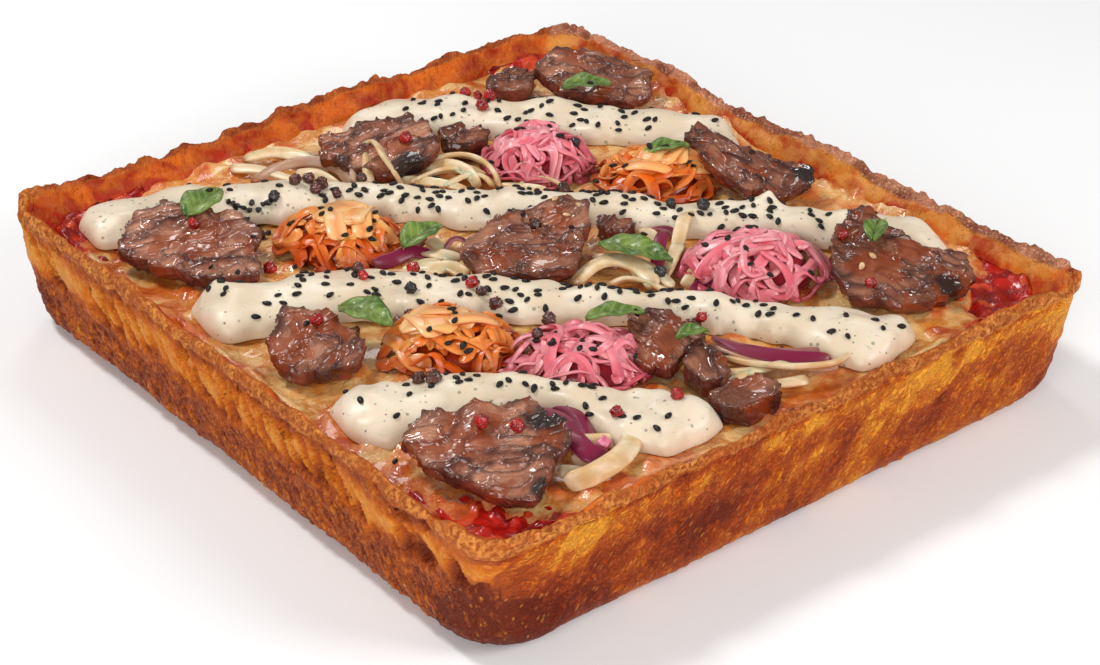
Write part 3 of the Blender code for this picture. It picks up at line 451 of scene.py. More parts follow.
def buildCrust():
    # the smooth sheet moved along its normals by a relief, which is a sum of masks times their heights
    stations = loopStations()
    sheet, crestShare = crustSheet(stations)
    normal = gridNormals(sheet)
    x, y, z = sheet[..., 0], sheet[..., 1], sheet[..., 2]
    travel = np.linspace(0, 1, len(sheet))[:, None] + 0 * x
    outside = 1 - smoothStep(travel, crestShare - 0.005, crestShare + 0.03)
    outX, outY = loopPoints(stations, 0.0, crust["cornerRim"])[2:]
    leftSide = smoothStep(-outX - 0.2 * outY, 0.3, 0.8)[None] + 0 * x
    backSide = smoothStep(outX + 0.45 * outY, 0.25, 0.8)[None] + 0 * x
    inner = smoothStep(travel - crestShare - 0.035 * backSide, 0.022, 0.06)
    crest = np.exp(-((travel - crestShare - 0.02 - 0.015 * backSide) / (0.036 + 0.020 * backSide)) ** 2)
    level = np.clip(z / crust["height"], 0, 1)
    leaning = np.stack([wallLean(x, y, z), z, (x + y) * 0.1], axis=-1)

    # slots: tall cells that lean, deepest in the upper third of the left wall
    warp = 0.35 * softNoise(sheet, 7.0, 51)[..., None]
    near = cellNoise(leaning / (3.8, 9.5, 6.0) + warp, 1.0, 52)[0]
    band = np.exp(-((level - 0.70 - 0.05 * ripple(x, y, 60, 53)) / 0.17) ** 2)
    chosen = smoothStep(softNoise(leaning / (1, 4, 1), 12.0, 50), -0.5, 0.0)
    slots = smoothStep(0.62 - near, 0.0, 0.22) * smoothStep(band, 0.2, 0.6) * chosen * leftSide
    # strings: narrower cells that lean the same way, and crumbs between them
    stringNear, stringSecond = cellNoise(leaning / (1.9, 7.0, 6.0) + warp * 2, 1.0, 54)
    strings = np.clip(stringSecond - stringNear, 0, 0.7)
    crumbs = layeredNoise(leaning / (1, 1.5, 1), 2.6, 55, 2)
    blisters = smoothStep(0.34 - cellNoise(leaning / (5.0, 9.0, 6.0) + warp, 1.0, 56)[0], 0, 0.30)
    swell = layeredNoise(sheet, 22.0, 57, 2)
    scallopSize = np.stack([x, y, z * 0.6], axis=-1) + 2.0 * warp
    farScallop = 0.62 + 0.55 * layeredNoise(sheet, 8.0, 58, 2)
    nearScallop = 1 - np.clip(cellNoise(scallopSize, 5.0, 60)[0], 0, 1)
    scallop = nearScallop + (farScallop - nearScallop) * backSide
    grainy = layeredNoise(sheet, 2.2, 59, 2)
    # lip: a crisp ledge with a ragged lower edge, just under the crest of the near walls
    ledge = 0.915 + 0.022 * softNoise(leaning, 7.0, 64) + 0.012 * softNoise(leaning, 2.5, 65)
    lip = smoothStep(level, ledge - 0.02, ledge) * outside * (1 - backSide)
    # under: a groove just below the lip, which the colour further down darkens as a painted shadow
    under = np.exp(-((level - ledge + 0.045) / 0.022) ** 2) * outside * (1 - backSide)

    relief = outside * (0.5 * (swell - 0.5) - 3.4 * slots + 0.5 * band * leftSide)
    relief += outside * leftSide * (1.4 * (strings - 0.35) + 0.45 * crumbs) * (1 - 0.6 * band)
    relief += outside * (1 - leftSide) * (0.2 * (strings - 0.35) + 0.25 * crumbs + 0.6 * blisters)
    relief += (lip * (0.5 + 0.9 * (scallop - 0.35) + 0.4 * grainy) - 0.5 * under) * (1 - 0.7 * leftSide)
    relief += crest * (0.35 + 0.65 * backSide) * (2.4 * (scallop - 0.62) + 1.3 * grainy)
    relief += inner * (0.35 * crumbs + 0.9 * swell)
    relief *= smoothStep(z, 0.2, 4.0)
    sheet = sheet + normal * relief[..., None]
    sheet[..., 2] += (crest + lip) * (1.3 * softNoise(sheet, 11.0, 62) + 0.7 * softNoise(sheet, 4.5, 63))
    sheet[..., 2] = np.clip(sheet[..., 2], 0.0, crust["height"] + 2.6)

    # browning: darkest low on the walls and at the corners' feet, gold round the slots and high on corners,
    # with painted shade inside the slots, over the front corner and in a line under the lip
    patch = layeredNoise(leaning / (1, 1.7, 1), 21.0, 61, 3)
    left = 0.70 + 0.14 * patch - (0.28 * crumbs + 0.55 * (strings - 0.3)) * (1 - 0.7 * band)
    left -= 0.56 * smoothStep(band + 0.35 * patch, 0.15, 1.0)
    front = 0.66 + 0.44 * patch - 0.10 * (strings - 0.3) - 0.12 * crumbs - 0.30 * blisters
    front -= 0.42 * smoothStep(level + 0.22 * patch, 0.60, 0.90)
    front += 0.14 * np.exp(-((level - 0.45) / 0.20) ** 2) - 0.16 * np.exp(-((level - 0.10) / 0.06) ** 2)
    toast = front + (left - front) * leftSide
    away = np.hypot(crust["width"] / 2 - np.abs(x), crust["length"] / 2 - np.abs(y))
    corner = np.exp(-(away / 24) ** 2)
    toast -= 0.46 * corner * smoothStep(level + 0.12 * patch, 0.50, 0.72)
    toast += 0.60 * corner * (1 - smoothStep(level + 0.10 * patch, 0.30, 0.58))
    # painted shade over the front corner, a little stronger low down
    nearCorner = np.exp(-(np.hypot(x + crust["width"] / 2, y + crust["length"] / 2) / 26) ** 2)
    toast += nearCorner * (0.60 + 0.10 * (1 - smoothStep(level, 0.3, 0.6)))
    gilt = smoothStep(layeredNoise(leaning / (1, 1.4, 1), 13.0, 67, 2), 0.10, 0.45)
    toast -= 0.42 * gilt * (0.45 + 0.55 * smoothStep(level, 0.35, 0.65)) * (1 - leftSide)
    # painted shade inside the slots, and a painted shadow in the line under the lip
    toast += 0.60 * slots + 0.35 * under * (1 - 0.8 * leftSide) + 0.15 * np.exp(-level / 0.03)
    values = dict(toast=np.clip(toast, 0, 1.3), crest=np.maximum(crest, lip), inner=inner, backSide=backSide,
                  leftSide=leftSide, scallop=scallop, level=z / crust["height"], lean=leaning[..., 0] * mm,
                  waxy=band * leftSide)
    poles = [(0, 0, 0)], [(0, 0, crust["bed"])]
    return serve(closedPiece("crust_baked", sheet[None], *poles, crustFinish(), values), "crust", "crust")


def crustFinish():
    finish = Finish("baked_crust", 0.5, Specular_IOR_Level=0.16)
    toast, inner, crest = finish.value("toast"), finish.value("inner"), finish.value("crest")
    leftSide, backSide, waxy = finish.value("leftSide"), finish.value("backSide"), finish.value("waxy")
    height = addNode(finish.tree, "ShaderNodeSeparateXYZ", Vector=finish.place).outputs[2]
    leaning = addNode(finish.tree, "ShaderNodeCombineXYZ", X=finish.value("lean"), Y=height).outputs[0]
    streak = finish.group(fibres, Vector=leaning, Scale=900.0, Stretch=(1.0, 0.28, 1.0))
    grain = finish.group(blotches, Scale=620.0, Detail=3.0, Warp=0.5, Low=0.30, High=0.70)
    broad = finish.group(blotches, Scale=58.0, Detail=4.0, Warp=0.8, Low=0.40, High=0.58)
    patch = finish.group(blotches, Scale=150.0, Detail=4.0, Warp=0.6, Low=0.30, High=0.70)
    bubbles = finish.group(blotches, Vector=leaning, Scale=430.0, Detail=2.0, Warp=2.2, Low=0.36, High=0.64)

    # walls: crumbs and streaks on the left one, smooth bubbles and patches on the others
    calm = finish.between(waxy, 0.0, 0.8, 1.0, 0.25)
    rough = finish.plus(finish.around(grain, 0.55), finish.around(streak, 1.2))
    rough = finish.times(finish.times(rough, leftSide), calm)
    smooth = finish.plus(finish.around(bubbles, 0.30), finish.around(patch, 0.20))
    smooth = finish.times(smooth, finish.between(leftSide, 0.0, 1.0, 1.0, 0.3))
    level = finish.plus(toast, finish.plus(rough, smooth))
    gold = finish.mix(leftSide, paint(230, 150, 40), paint(218, 146, 58))
    colour = finish.mix(finish.between(level, 0.05, 0.38), gold, paint(200, 102, 16))
    colour = finish.mix(finish.between(level, 0.35, 0.70), colour,
                        finish.mix(leftSide, paint(164, 64, 8), paint(168, 78, 28)))
    colour = finish.mix(finish.between(level, 0.70, 1.20), colour,
                        finish.mix(leftSide, paint(108, 30, 2), paint(108, 38, 14)))
    longDots = addNode(finish.tree, "ShaderNodeVectorMath", [("operation", "MULTIPLY")], i0=leaning,
                       i1=(1.0, 0.62, 1.0)).outputs[0]
    glint = finish.group(flecks, Vector=longDots, Scale=640.0, Size=0.36, Share=0.34)
    colour = finish.lay(colour, glint, 0.42, paint(240, 148, 66))

    # crest: light and crinkled on the near walls, dark on the far left one, and on the far right one grainy,
    # with light specks that are partly painted highlight
    nearCrest = finish.mix(grain, paint(158, 72, 20), paint(232, 146, 68))
    nearCrest = finish.mix(finish.between(patch, 0.3, 1.0, 0.0, 0.7), nearCrest, paint(178, 80, 24))
    leftCrest = finish.mix(patch, paint(136, 52, 18), paint(196, 98, 42))
    farCrest = finish.mix(finish.between(finish.value("scallop"), 0.35, 0.85), paint(146, 80, 56),
                          paint(208, 138, 104))
    # light specks on the grainy far crest: partly its own grain, partly painted highlight
    sugary = finish.group(flecks, Scale=760.0, Size=0.45, Share=0.55)
    farCrest = finish.lay(farCrest, sugary, 0.55, paint(234, 182, 154))
    rim = finish.mix(finish.between(backSide, 0.05, 0.3), nearCrest, leftCrest)
    rim = finish.mix(finish.between(backSide, 0.5, 0.95), rim, farCrest)
    colour = finish.mix(finish.between(crest, 0.35, 0.8), colour, rim)

    # inner walls: orange going to red, with baked cheese low down
    stain = finish.mix(broad, paint(208, 92, 20), paint(160, 40, 10))
    stain = finish.lay(stain, patch, 0.38, paint(226, 130, 40))
    stain = finish.mix(finish.between(bubbles, 0.5, 1.0, 0.0, 0.35), stain, paint(140, 54, 20))
    farStain = finish.mix(broad, paint(214, 128, 48), paint(180, 62, 22))
    farStain = finish.lay(farStain, patch, 0.4, paint(236, 176, 96))
    stain = finish.mix(finish.between(backSide, 0.4, 0.9), stain, farStain)
    cheesy = finish.plus(finish.value("level"), finish.around(patch, 0.10))
    stain = finish.mix(finish.between(cheesy, 0.87, 0.83, 0.0, 0.8), stain,
                       finish.mix(broad, paint(220, 112, 34), paint(178, 38, 16)))
    colour = finish.mix(finish.between(inner, 0.2, 0.9), colour, stain)

    # relief too fine for the mesh: crumbs and streaks on the left wall, bubbles on the others
    bumps = finish.plus(finish.times(grain, 0.8), finish.times(streak, leftSide))
    bumps = finish.times(bumps, finish.times(calm, finish.between(leftSide, 0.0, 1.0, 0.35, 1.0)))
    outer = finish.times(finish.between(leftSide, 0.0, 1.0, 0.8, 0.1),
                         finish.between(inner, 0.0, 1.0, 1.0, 0.05))
    bumps = finish.plus(bumps, finish.times(bubbles, outer))
    bumps = finish.plus(bumps, finish.times(glint, 0.5))
    gloss = finish.between(finish.plus(inner, finish.times(grain, -0.4)), -0.4, 1.0, 0.56, 0.34)
    return finish.done(colour, bumps, 0.0008, gloss)


# The cheese and the sauce are height fields over the filling's outline: the sauce shows where the
# cheese dips under it, at the four corners.

def fillingGrid(rows, columns, margin):
    # an even grid squeezed at both ends, so that its outline has the filling's round corners
    reachX = crust["width"] / 2 - bedInset() - margin
    reachY = crust["length"] / 2 - bedInset() - margin
    radius = crust["cornerInner"]
    y = np.linspace(-reachY, reachY, rows)
    into = np.clip(np.abs(y) - (reachY - radius), 0, radius)
    half = reachX - radius + np.sqrt(np.clip(radius ** 2 - into ** 2, 0, None))
    x = np.linspace(-1, 1, columns)[None] * half[:, None]
    return x, y[:, None] + 0 * x, reachX, reachY


def heightPiece(name, x, y, z, bottom, material, values=None):
    # a height field closed by a skirt down to a flat bottom
    rows, columns = x.shape
    number = np.arange(rows * columns).reshape(rows, columns)
    top = np.stack([number[:-1, :-1], number[:-1, 1:], number[1:, 1:], number[1:, :-1]], axis=-1)
    rim = np.concatenate([number[0, :-1], number[:-1, -1], number[-1, :0:-1], number[:0:-1, 0]])
    corners = np.stack([x, y, z], axis=-1).reshape(-1, 3)
    low = corners[rim] * (1, 1, 0) + (0, 0, bottom)
    start = rows * columns
    here = np.arange(len(rim))
    after = np.roll(here, -1)
    skirt = np.stack([rim[here], start + here, start + after, rim[after]], axis=-1)
    base = np.stack([start + after, start + here, np.full(len(rim), start + len(rim))], axis=-1)
    corners = np.concatenate([corners, low, [(0, 0, bottom)]])
    faces = top.reshape(-1, 4).tolist() + skirt.tolist() + base.tolist()
    return meshPiece(name, corners, faces, material, values)


def cornerNearness(x, y, reachX, reachY):
    # 1 in each corner of the filling, 0 beyond the cut's reach
    away = np.hypot(reachX - np.abs(x), reachY - np.abs(y))
    return np.clip(1 - away / cheese["cornerCut"], 0, 1)


def buildSauce():
    # lumps are cells' middles raised a little; it climbs at the walls and sinks away from the corners
    x, y, reachX, reachY = fillingGrid(170, 158, -2.5)
    points = np.stack([x, y, 0 * x], axis=-1)
    lumps = smoothStep(0.55 - cellNoise(points, 6.5, 71)[0], 0, 0.5)
    nearWall = np.minimum(reachX - np.abs(x), reachY - np.abs(y))
    z = sauceLevel + 2.4 * lumps + 0.9 * layeredNoise(points, 5.0, 72, 3) + 2.4 * np.exp(-nearWall / 3.0)
    z -= 2.6 * smoothStep(-cornerNearness(x, y, reachX, reachY), -0.02, 0.0)
    finish = Finish("tomato_sauce", 0.26, Coat_Weight=0.3, Coat_Roughness=0.07, Specular_IOR_Level=0.3)
    patch = finish.group(blotches, Scale=140.0, Detail=4.0, Warp=0.8, Low=0.35, High=0.65)
    colour = finish.mix(patch, paint(190, 28, 14), paint(126, 8, 6))
    bright = finish.group(blotches, Scale=110.0, Detail=2.0, Warp=0.3, Low=0.50, High=0.60)
    colour = finish.lay(colour, bright, 0.7, paint(226, 84, 40))
    material = finish.done(colour, patch, 0.0004)
    return serve(heightPiece("sauce_layer", x, y, z, sauceLevel - 3.0, material), "sauce", "sauce")


def buildCheese():
    # a wavy level with blisters raised and oil pools sunk, which climbs at the walls and dips at the corners
    x, y, reachX, reachY = fillingGrid(cheese["rows"], cheese["columns"], -5.2)
    points = np.stack([x, y, 0 * x], axis=-1)
    nearWall = np.minimum(reachX - np.abs(x), reachY - np.abs(y))
    corner = cornerNearness(x, y, reachX, reachY)
    drift = layeredNoise(points, 15.0, 81, 3)
    near = cellNoise(points + 2.0 * drift[..., None], 15.0, 82)[0]
    blister = smoothStep(0.40 - near + 0.06 * drift, 0, 0.26)
    oil = 0 * x
    for spots, mask, reach in ((cheeseBlisters, blister, 4.5), (cheeseOil, oil, 7.0)):
        for u, v in spots:
            spotX, spotY = toPizza(u, v)
            away = np.hypot(x - spotX, y - spotY) / reach + 0.25 * drift
            np.maximum(mask, smoothStep(1.1 - away, 0.0, 0.6), out=mask)
    small = smoothStep(0.32 - cellNoise(points, 5.0, 83)[0], 0, 0.22)
    z = cheese["top"] + 0.6 * drift - 0.6 + 1.7 * blister + 0.5 * small * (1 - oil) - 0.5 * oil
    z += np.exp(-np.clip(nearWall - 2, 0, None) / 2.4) * (0.9 + 1.7 * drift)
    z -= 4.6 * smoothStep(corner + 0.20 * drift, 0.30, 0.44)
    streaks = layeredNoise(points, 9.0, 86, 3)
    red = np.exp(-nearWall / 15.0) * smoothStep(streaks, -0.08, 0.22) * 1.3
    red = np.clip(red + 1.1 * smoothStep(corner + 0.16 * drift, 0.14, 0.36), 0, 1)
    amber = smoothStep(layeredNoise(points, 18.0, 85, 3), -0.1, 0.5)
    values = dict(blister=blister, red=red, amber=np.maximum(amber * 0.7, oil), oil=oil)
    piece = heightPiece("cheese_melted", x, y, z, cheese["bottom"] - 1.5, cheeseFinish(), values)
    return serve(piece, "cheese", "cheese")


def cheeseFinish():
    # cream and tan patches, then amber, red at the walls and corners, and the blisters browned
    finish = Finish("melted_cheese", 0.3, Coat_Weight=0.4, Coat_Roughness=0.06, Specular_IOR_Level=0.35,
                    Subsurface_Weight=0.1, Subsurface_Scale=0.003)
    mottled = finish.group(blotches, Scale=120.0, Detail=4.0, Warp=0.8, Low=0.36, High=0.64)
    fine = finish.group(blotches, Scale=380.0, Detail=3.0, Warp=0.4, Low=0.3, High=0.7)
    colour = finish.mix(mottled, paint(238, 194, 128), paint(208, 130, 58))
    amber = finish.times(finish.value("amber"), finish.between(mottled, 0.0, 1.0, 0.6, 1.0))
    colour = finish.lay(colour, amber, 0.85, paint(218, 128, 34))
    red = finish.times(finish.value("red"), finish.between(fine, 0.0, 1.0, 0.5, 1.0))
    redTone = finish.mix(mottled, paint(212, 84, 30), paint(182, 54, 30))
    colour = finish.lay(colour, red, 0.85, redTone)
    browned = finish.times(finish.value("blister"), finish.between(mottled, 0.0, 1.0, 0.5, 1.0))
    colour = finish.lay(colour, browned, 0.9, paint(206, 92, 32))
    tip = finish.times(finish.between(finish.value("blister"), 0.7, 1.0), mottled)
    colour = finish.lay(colour, tip, 0.6, paint(150, 56, 26))
    wet = finish.between(finish.plus(mottled, finish.value("oil")), 0.0, 1.2, 0.34, 0.12)
    return finish.done(colour, fine, 0.0003, wet)


# The cream bands: each row is a place u along the band, its front edge and its back edge across it.
creamHeight = 8.2
creamTip = 10.0                          # length of a band's rounded end
creamBands = {
    "cream_band_1": [(-72, 84, 108), (-54, 90, 115), (-36, 89, 117), (-10, 88, 114), (16, 87, 110),
                     (42, 81, 105), (60, 79, 101), (80, 78, 98)],
    "cream_band_2": [(-158, 4, 28), (-140, 8, 37), (-122, 14, 43), (-98, 21, 46), (-70, 27, 45),
                     (-44, 24, 43), (-24, 20, 40), (0, 17, 39), (18, 20, 40), (34, 17, 34), (54, 11, 31),
                     (78, 12, 29), (104, 4, 24), (126, -3, 20), (142, -6, 14)],
    "cream_band_3": [(-116, -54, -34), (-98, -57, -27), (-78, -50, -19), (-58, -44, -16), (-36, -44, -20),
                     (-12, -46, -22), (12, -47, -27), (36, -47, -33), (60, -51, -34), (82, -59, -39),
                     (100, -71, -41), (118, -73, -47), (130, -70, -52)],
    "cream_band_4": [(-64, -116, -95), (-48, -120, -87), (-30, -113, -84), (-10, -101, -83), (8, -103, -88),
                     (24, -115, -92), (40, -124, -94), (54, -126, -98), (64, -125, -107)],
}
# peaks: place (u, v), rise and reach
creamPeaks = [(82, 27, 9.0, 3.6), (-104, -30, 4.0, 4.0), (36, 32, 3.0, 5.0), (-52, -84, 2.5, 5.0)]


def insideWall(x, y, margin):
    # keeps a point at least margin away from the inner wall at the cheese's level
    reachX = crust["width"] / 2 - crust["rimFar"] - crust["innerSlope"] - margin
    reachY = crust["length"] / 2 - crust["rimFar"] - crust["innerSlope"] - margin
    return np.clip(x, -reachX, reachX), np.clip(y, -reachY, reachY)


def bandOutline(rows, stations):
    # a band's places along u with its front and back edges, inside the walls and round at both ends
    line = smoothPath(rows, 24 * len(rows))
    u = np.arange(rows[0][0], rows[-1][0], 0.5)
    front, back = bandEdges(u, line)
    wide = u[back - front > creamTip]
    first, last = wide[0], wide[-1]
    front, back = softened(front, 7.0), softened(back, 7.0)
    swing = np.linspace(0, math.pi, stations)
    along = (first + last) / 2 - (last - first) / 2 * np.cos(swing) * (1 - 0.35 * np.sin(swing) ** 2)
    fromEnd = np.minimum(along - first, last - along)
    tip = np.sqrt(np.clip(1 - (1 - np.clip(fromEnd / creamTip, 0, 1)) ** 2, 0, 1))
    return along, np.interp(along, u, front), np.interp(along, u, back), tip


def bandEdges(u, line):
    # the walls, seen along v, limit the edges: each wall is a straight line in the stripe frame
    reachX = crust["width"] / 2 - bedInset() - 0.5
    reachY = crust["length"] / 2 - bedInset() - 0.5
    cosine, sine = math.cos(stripeTurn), math.sin(stripeTurn)
    lowest = np.maximum((-reachX - u * cosine) / sine, (-reachY + u * sine) / cosine)
    highest = np.minimum((reachX - u * cosine) / sine, (reachY + u * sine) / cosine)
    front, back = np.interp(u, line[:, 0], line[:, 1]), np.interp(u, line[:, 0], line[:, 2])
    return np.maximum(front, lowest), np.minimum(back, highest)


def softened(edge, reach):
    # a mean weighted like a bell, over about twice the reach; the places lie half a millimetre apart
    weight = np.exp(-np.linspace(-2, 2, 4 * int(reach) + 1) ** 2)
    padded = np.pad(edge, len(weight) // 2, mode="edge")
    return np.convolve(padded, weight / weight.sum(), mode="valid")


def bandGrid(rows, stations, around, seed):
    # a puddle with a flat top and steep round edges; its edges run in lobes and its top is wavy
    along, front, back, tip = bandOutline(rows, stations)
    front = front + tip * (1.9 * ripple(along, 0, 26, seed) + 0.9 * ripple(along, 0, 11, seed + 3))
    back = back + tip * (1.7 * ripple(along, 0, 23, seed + 1) + 0.8 * ripple(along, 0, 10, seed + 4))
    middle, half = (front + back) / 2, (back - front) / 2 * tip
    angle = np.linspace(0, 2 * math.pi, around, endpoint=False)
    side = -np.sign(np.cos(angle)) * np.abs(np.cos(angle)) ** 0.78
    dome = np.sign(np.sin(angle)) * np.abs(np.sin(angle)) ** 0.84
    u = np.repeat(along[:, None], around, axis=1)
    v = middle[:, None] + half[:, None] * side
    above = np.clip(dome, 0, 1)
    wave = 0.15 * ripple(u, v, 27, 31) + 0.05 * ripple(u, v, 14, seed + 2)
    height = creamHeight * tip ** 0.8 * np.clip(half / 7.0, 0.2, 1) ** 0.5
    z = restZ + height[:, None] * (above * (0.94 + wave) + np.clip(dome, -1, 0) * 0.12)
    for peakU, peakV, rise, reach in creamPeaks:
        z = z + above * rise * np.exp(-(np.hypot(u - peakU, v - peakV) / reach) ** 1.4)
    return np.stack([*toPizza(u, v), z], axis=-1)


def creamFinish():
    # ivory in two soft tones with smears of herb, green flecks and dark ones
    finish = Finish("cream_sauce", 0.42, Coat_Weight=0.15, Coat_Roughness=0.22, Specular_IOR_Level=0.35,
                    Subsurface_Weight=0.25, Subsurface_Scale=0.003)
    soft = finish.group(blotches, Scale=60.0, Detail=2.0, Warp=0.3, Low=0.35, High=0.65)
    colour = finish.mix(soft, paint(234, 219, 195), paint(223, 204, 175))
    smear = finish.group(blotches, Scale=420.0, Detail=3.0, Warp=1.0, Low=0.62, High=0.72)
    colour = finish.lay(colour, smear, 0.35, paint(168, 160, 132))
    herbs = finish.group(flecks, Scale=250.0, Size=0.20, Share=0.46)
    colour = finish.lay(colour, herbs, 0.65, paint(112, 112, 88))
    pepper = finish.group(flecks, Scale=420.0, Size=0.20, Share=0.25)
    colour = finish.lay(colour, pepper, 0.75, paint(86, 72, 56))
    return finish.done(colour, soft, 0.0004)


def buildBands():
    material = creamFinish()
    bands = {}
    for number, (name, rows) in enumerate(creamBands.items()):
        grid = bandGrid(rows, int(2.2 * (rows[-1][0] - rows[0][0])), 76, 300 + 10 * number)
        ends = [[grid[k].mean(axis=0)] for k in (0, -1)]
        bands[name] = serve(closedPiece(name + "_poured", grid[None, 1:-1], *ends, material), "cream", name)
    return bands


# The beef: slices with folds along their grain.

def slab(outline, foot=0.0, thick=6.5, rise=(0.0, 0.0), grain=0, dark=0.0, glaze=(), char=()):
    # outline (u, v), foot over the cheese, thickness, rise along u and v, the grain's turn in degrees, how
    # dark it is, and its spots of glaze and char as (u, v, reach)
    return dict(outline=outline, foot=foot, thick=thick, rise=rise, grain=grain, dark=dark, glaze=glaze,
                char=char)


beefPieces = {
    "beef_a0": slab([(-18, 117), (-16, 125), (-11, 132), (-4, 133), (-1, 128), (-3, 117)],
                    thick=8.0, rise=(0.0, 0.05), grain=20, dark=0.7),
    "beef_a1": slab([(0, 126), (4, 136), (14, 139), (26, 137), (35, 130), (43, 125), (42, 113), (36, 108),
                     (22, 109), (8, 114)], foot=1.5, thick=7.0, rise=(-0.03, 0.16), grain=-15, dark=0.4),
    "beef_b1": slab([(-78, 71), (-62, 79), (-46, 84), (-38, 75), (-35, 63), (-40, 55), (-50, 50), (-64, 53),
                     (-75, 60)], foot=1.0, rise=(0.06, 0.14), grain=30, char=[(-46, 54, 6)]),
    "beef_b2": slab([(-35, 80), (-30, 84), (-22, 84), (-18, 80), (-18, 74), (-24, 70), (-32, 71)],
                    thick=8.0, dark=0.8),
    "beef_b3": slab([(55, 67), (59, 76), (69, 62), (86, 50), (97, 48), (98, 39), (84, 29), (71, 36),
                     (61, 50)], foot=2.0, rise=(-0.02, 0.12), grain=-45, dark=0.7, char=[(95, 42, 6)]),
    "beef_c1": slab([(-139, -10), (-137, 13), (-128, 19), (-114, 12), (-103, 12), (-95, 5), (-92, -24),
                     (-106, -27), (-123, -19)], rise=(0.02, 0.13), grain=25,
                    glaze=[(-112, -10, 8), (-122, -6, 5)], char=[(-95, 8, 5)]),
    "beef_c2": slab([(-25, -10), (-15, 3), (4, 12), (12, 15), (18, 10), (19, 2), (14, -19), (8, -23),
                     (-7, -22), (-18, -20)], rise=(0.05, 0.22), grain=15, dark=0.5, glaze=[(8, 2, 7)]),
    "beef_c2b": slab([(22, 14), (27, 16), (33, 13), (32, 7), (27, 5), (23, 8)],
                     thick=8.0, grain=60, dark=0.8),
    "beef_c3": slab([(98, -24), (101, -6), (107, 6), (113, 6), (126, -9), (143, -18), (146, -27),
                     (136, -37), (121, -42), (103, -38)], rise=(-0.04, 0.17), grain=-30, dark=0.65,
                    glaze=[(112, -24, 9), (126, -16, 6)], char=[(136, -32, 5)]),
    "beef_d1": slab([(-83, -72), (-79, -54), (-68, -56), (-55, -64), (-52, -74), (-57, -82), (-70, -86),
                     (-79, -83)], rise=(0.02, 0.18), grain=50, dark=0.25, glaze=[(-66, -66, 5)]),
    "beef_d2": slab([(31, -56), (39, -54), (53, -62), (55, -69), (48, -75), (42, -85), (33, -78), (31, -68)],
                    foot=1.0, rise=(0.0, 0.14), grain=-60, dark=0.75, glaze=[(42, -70, 6)]),
    "beef_d2b": slab([(48, -77), (53, -73), (58, -77), (60, -85), (58, -91), (52, -90), (48, -85)],
                     thick=8.0, rise=(0.0, 0.05), grain=-70, dark=0.8),
    "beef_d3": slab([(54, -99), (60, -94), (70, -89), (76, -92), (76, -99), (66, -108), (58, -106)],
                    thick=7.5, rise=(0.02, 0.0), grain=40, dark=0.7),
    "beef_e1": slab([(-38, -129), (-31, -118), (-13, -116), (-2, -114), (8, -122), (10, -132), (6, -145),
                     (1, -155), (-6, -154), (-19, -147), (-31, -139)], rise=(0.03, 0.20), grain=10, dark=0.1,
                    glaze=[(-19, -131, 8), (-14, -125, 7), (-25, -136, 5)],
                    char=[(5, -122, 8), (3, -150, 4)]),
}


def beefOutline(corners, around, seed):
    # walks the outline at even steps, rounds its corners a little, then frays and notches it
    closed = np.array(corners + corners[:1], float)
    length = np.concatenate([[0], np.cumsum(np.hypot(*np.diff(closed, axis=0).T))])
    at = np.arange(around) / around * length[-1]
    line = np.stack([np.interp(at, length, closed[:, k]) for k in (0, 1)], axis=1)
    for smoothing in range(5):
        line = (np.roll(line, 1, axis=0) + 2 * line + np.roll(line, -1, axis=0)) / 4
    spread = line - line.mean(axis=0)
    out = spread / np.hypot(*spread.T)[:, None]
    notch = smoothStep(ripple(*line.T, 12, seed + 5), 0.55, 0.95)
    fray = 1.1 * ripple(*line.T, 13, seed) + 0.14 * ripple(*line.T, 5.5, seed + 1) - 1.5 * notch
    return line + out * (fray + 0.4)[:, None]


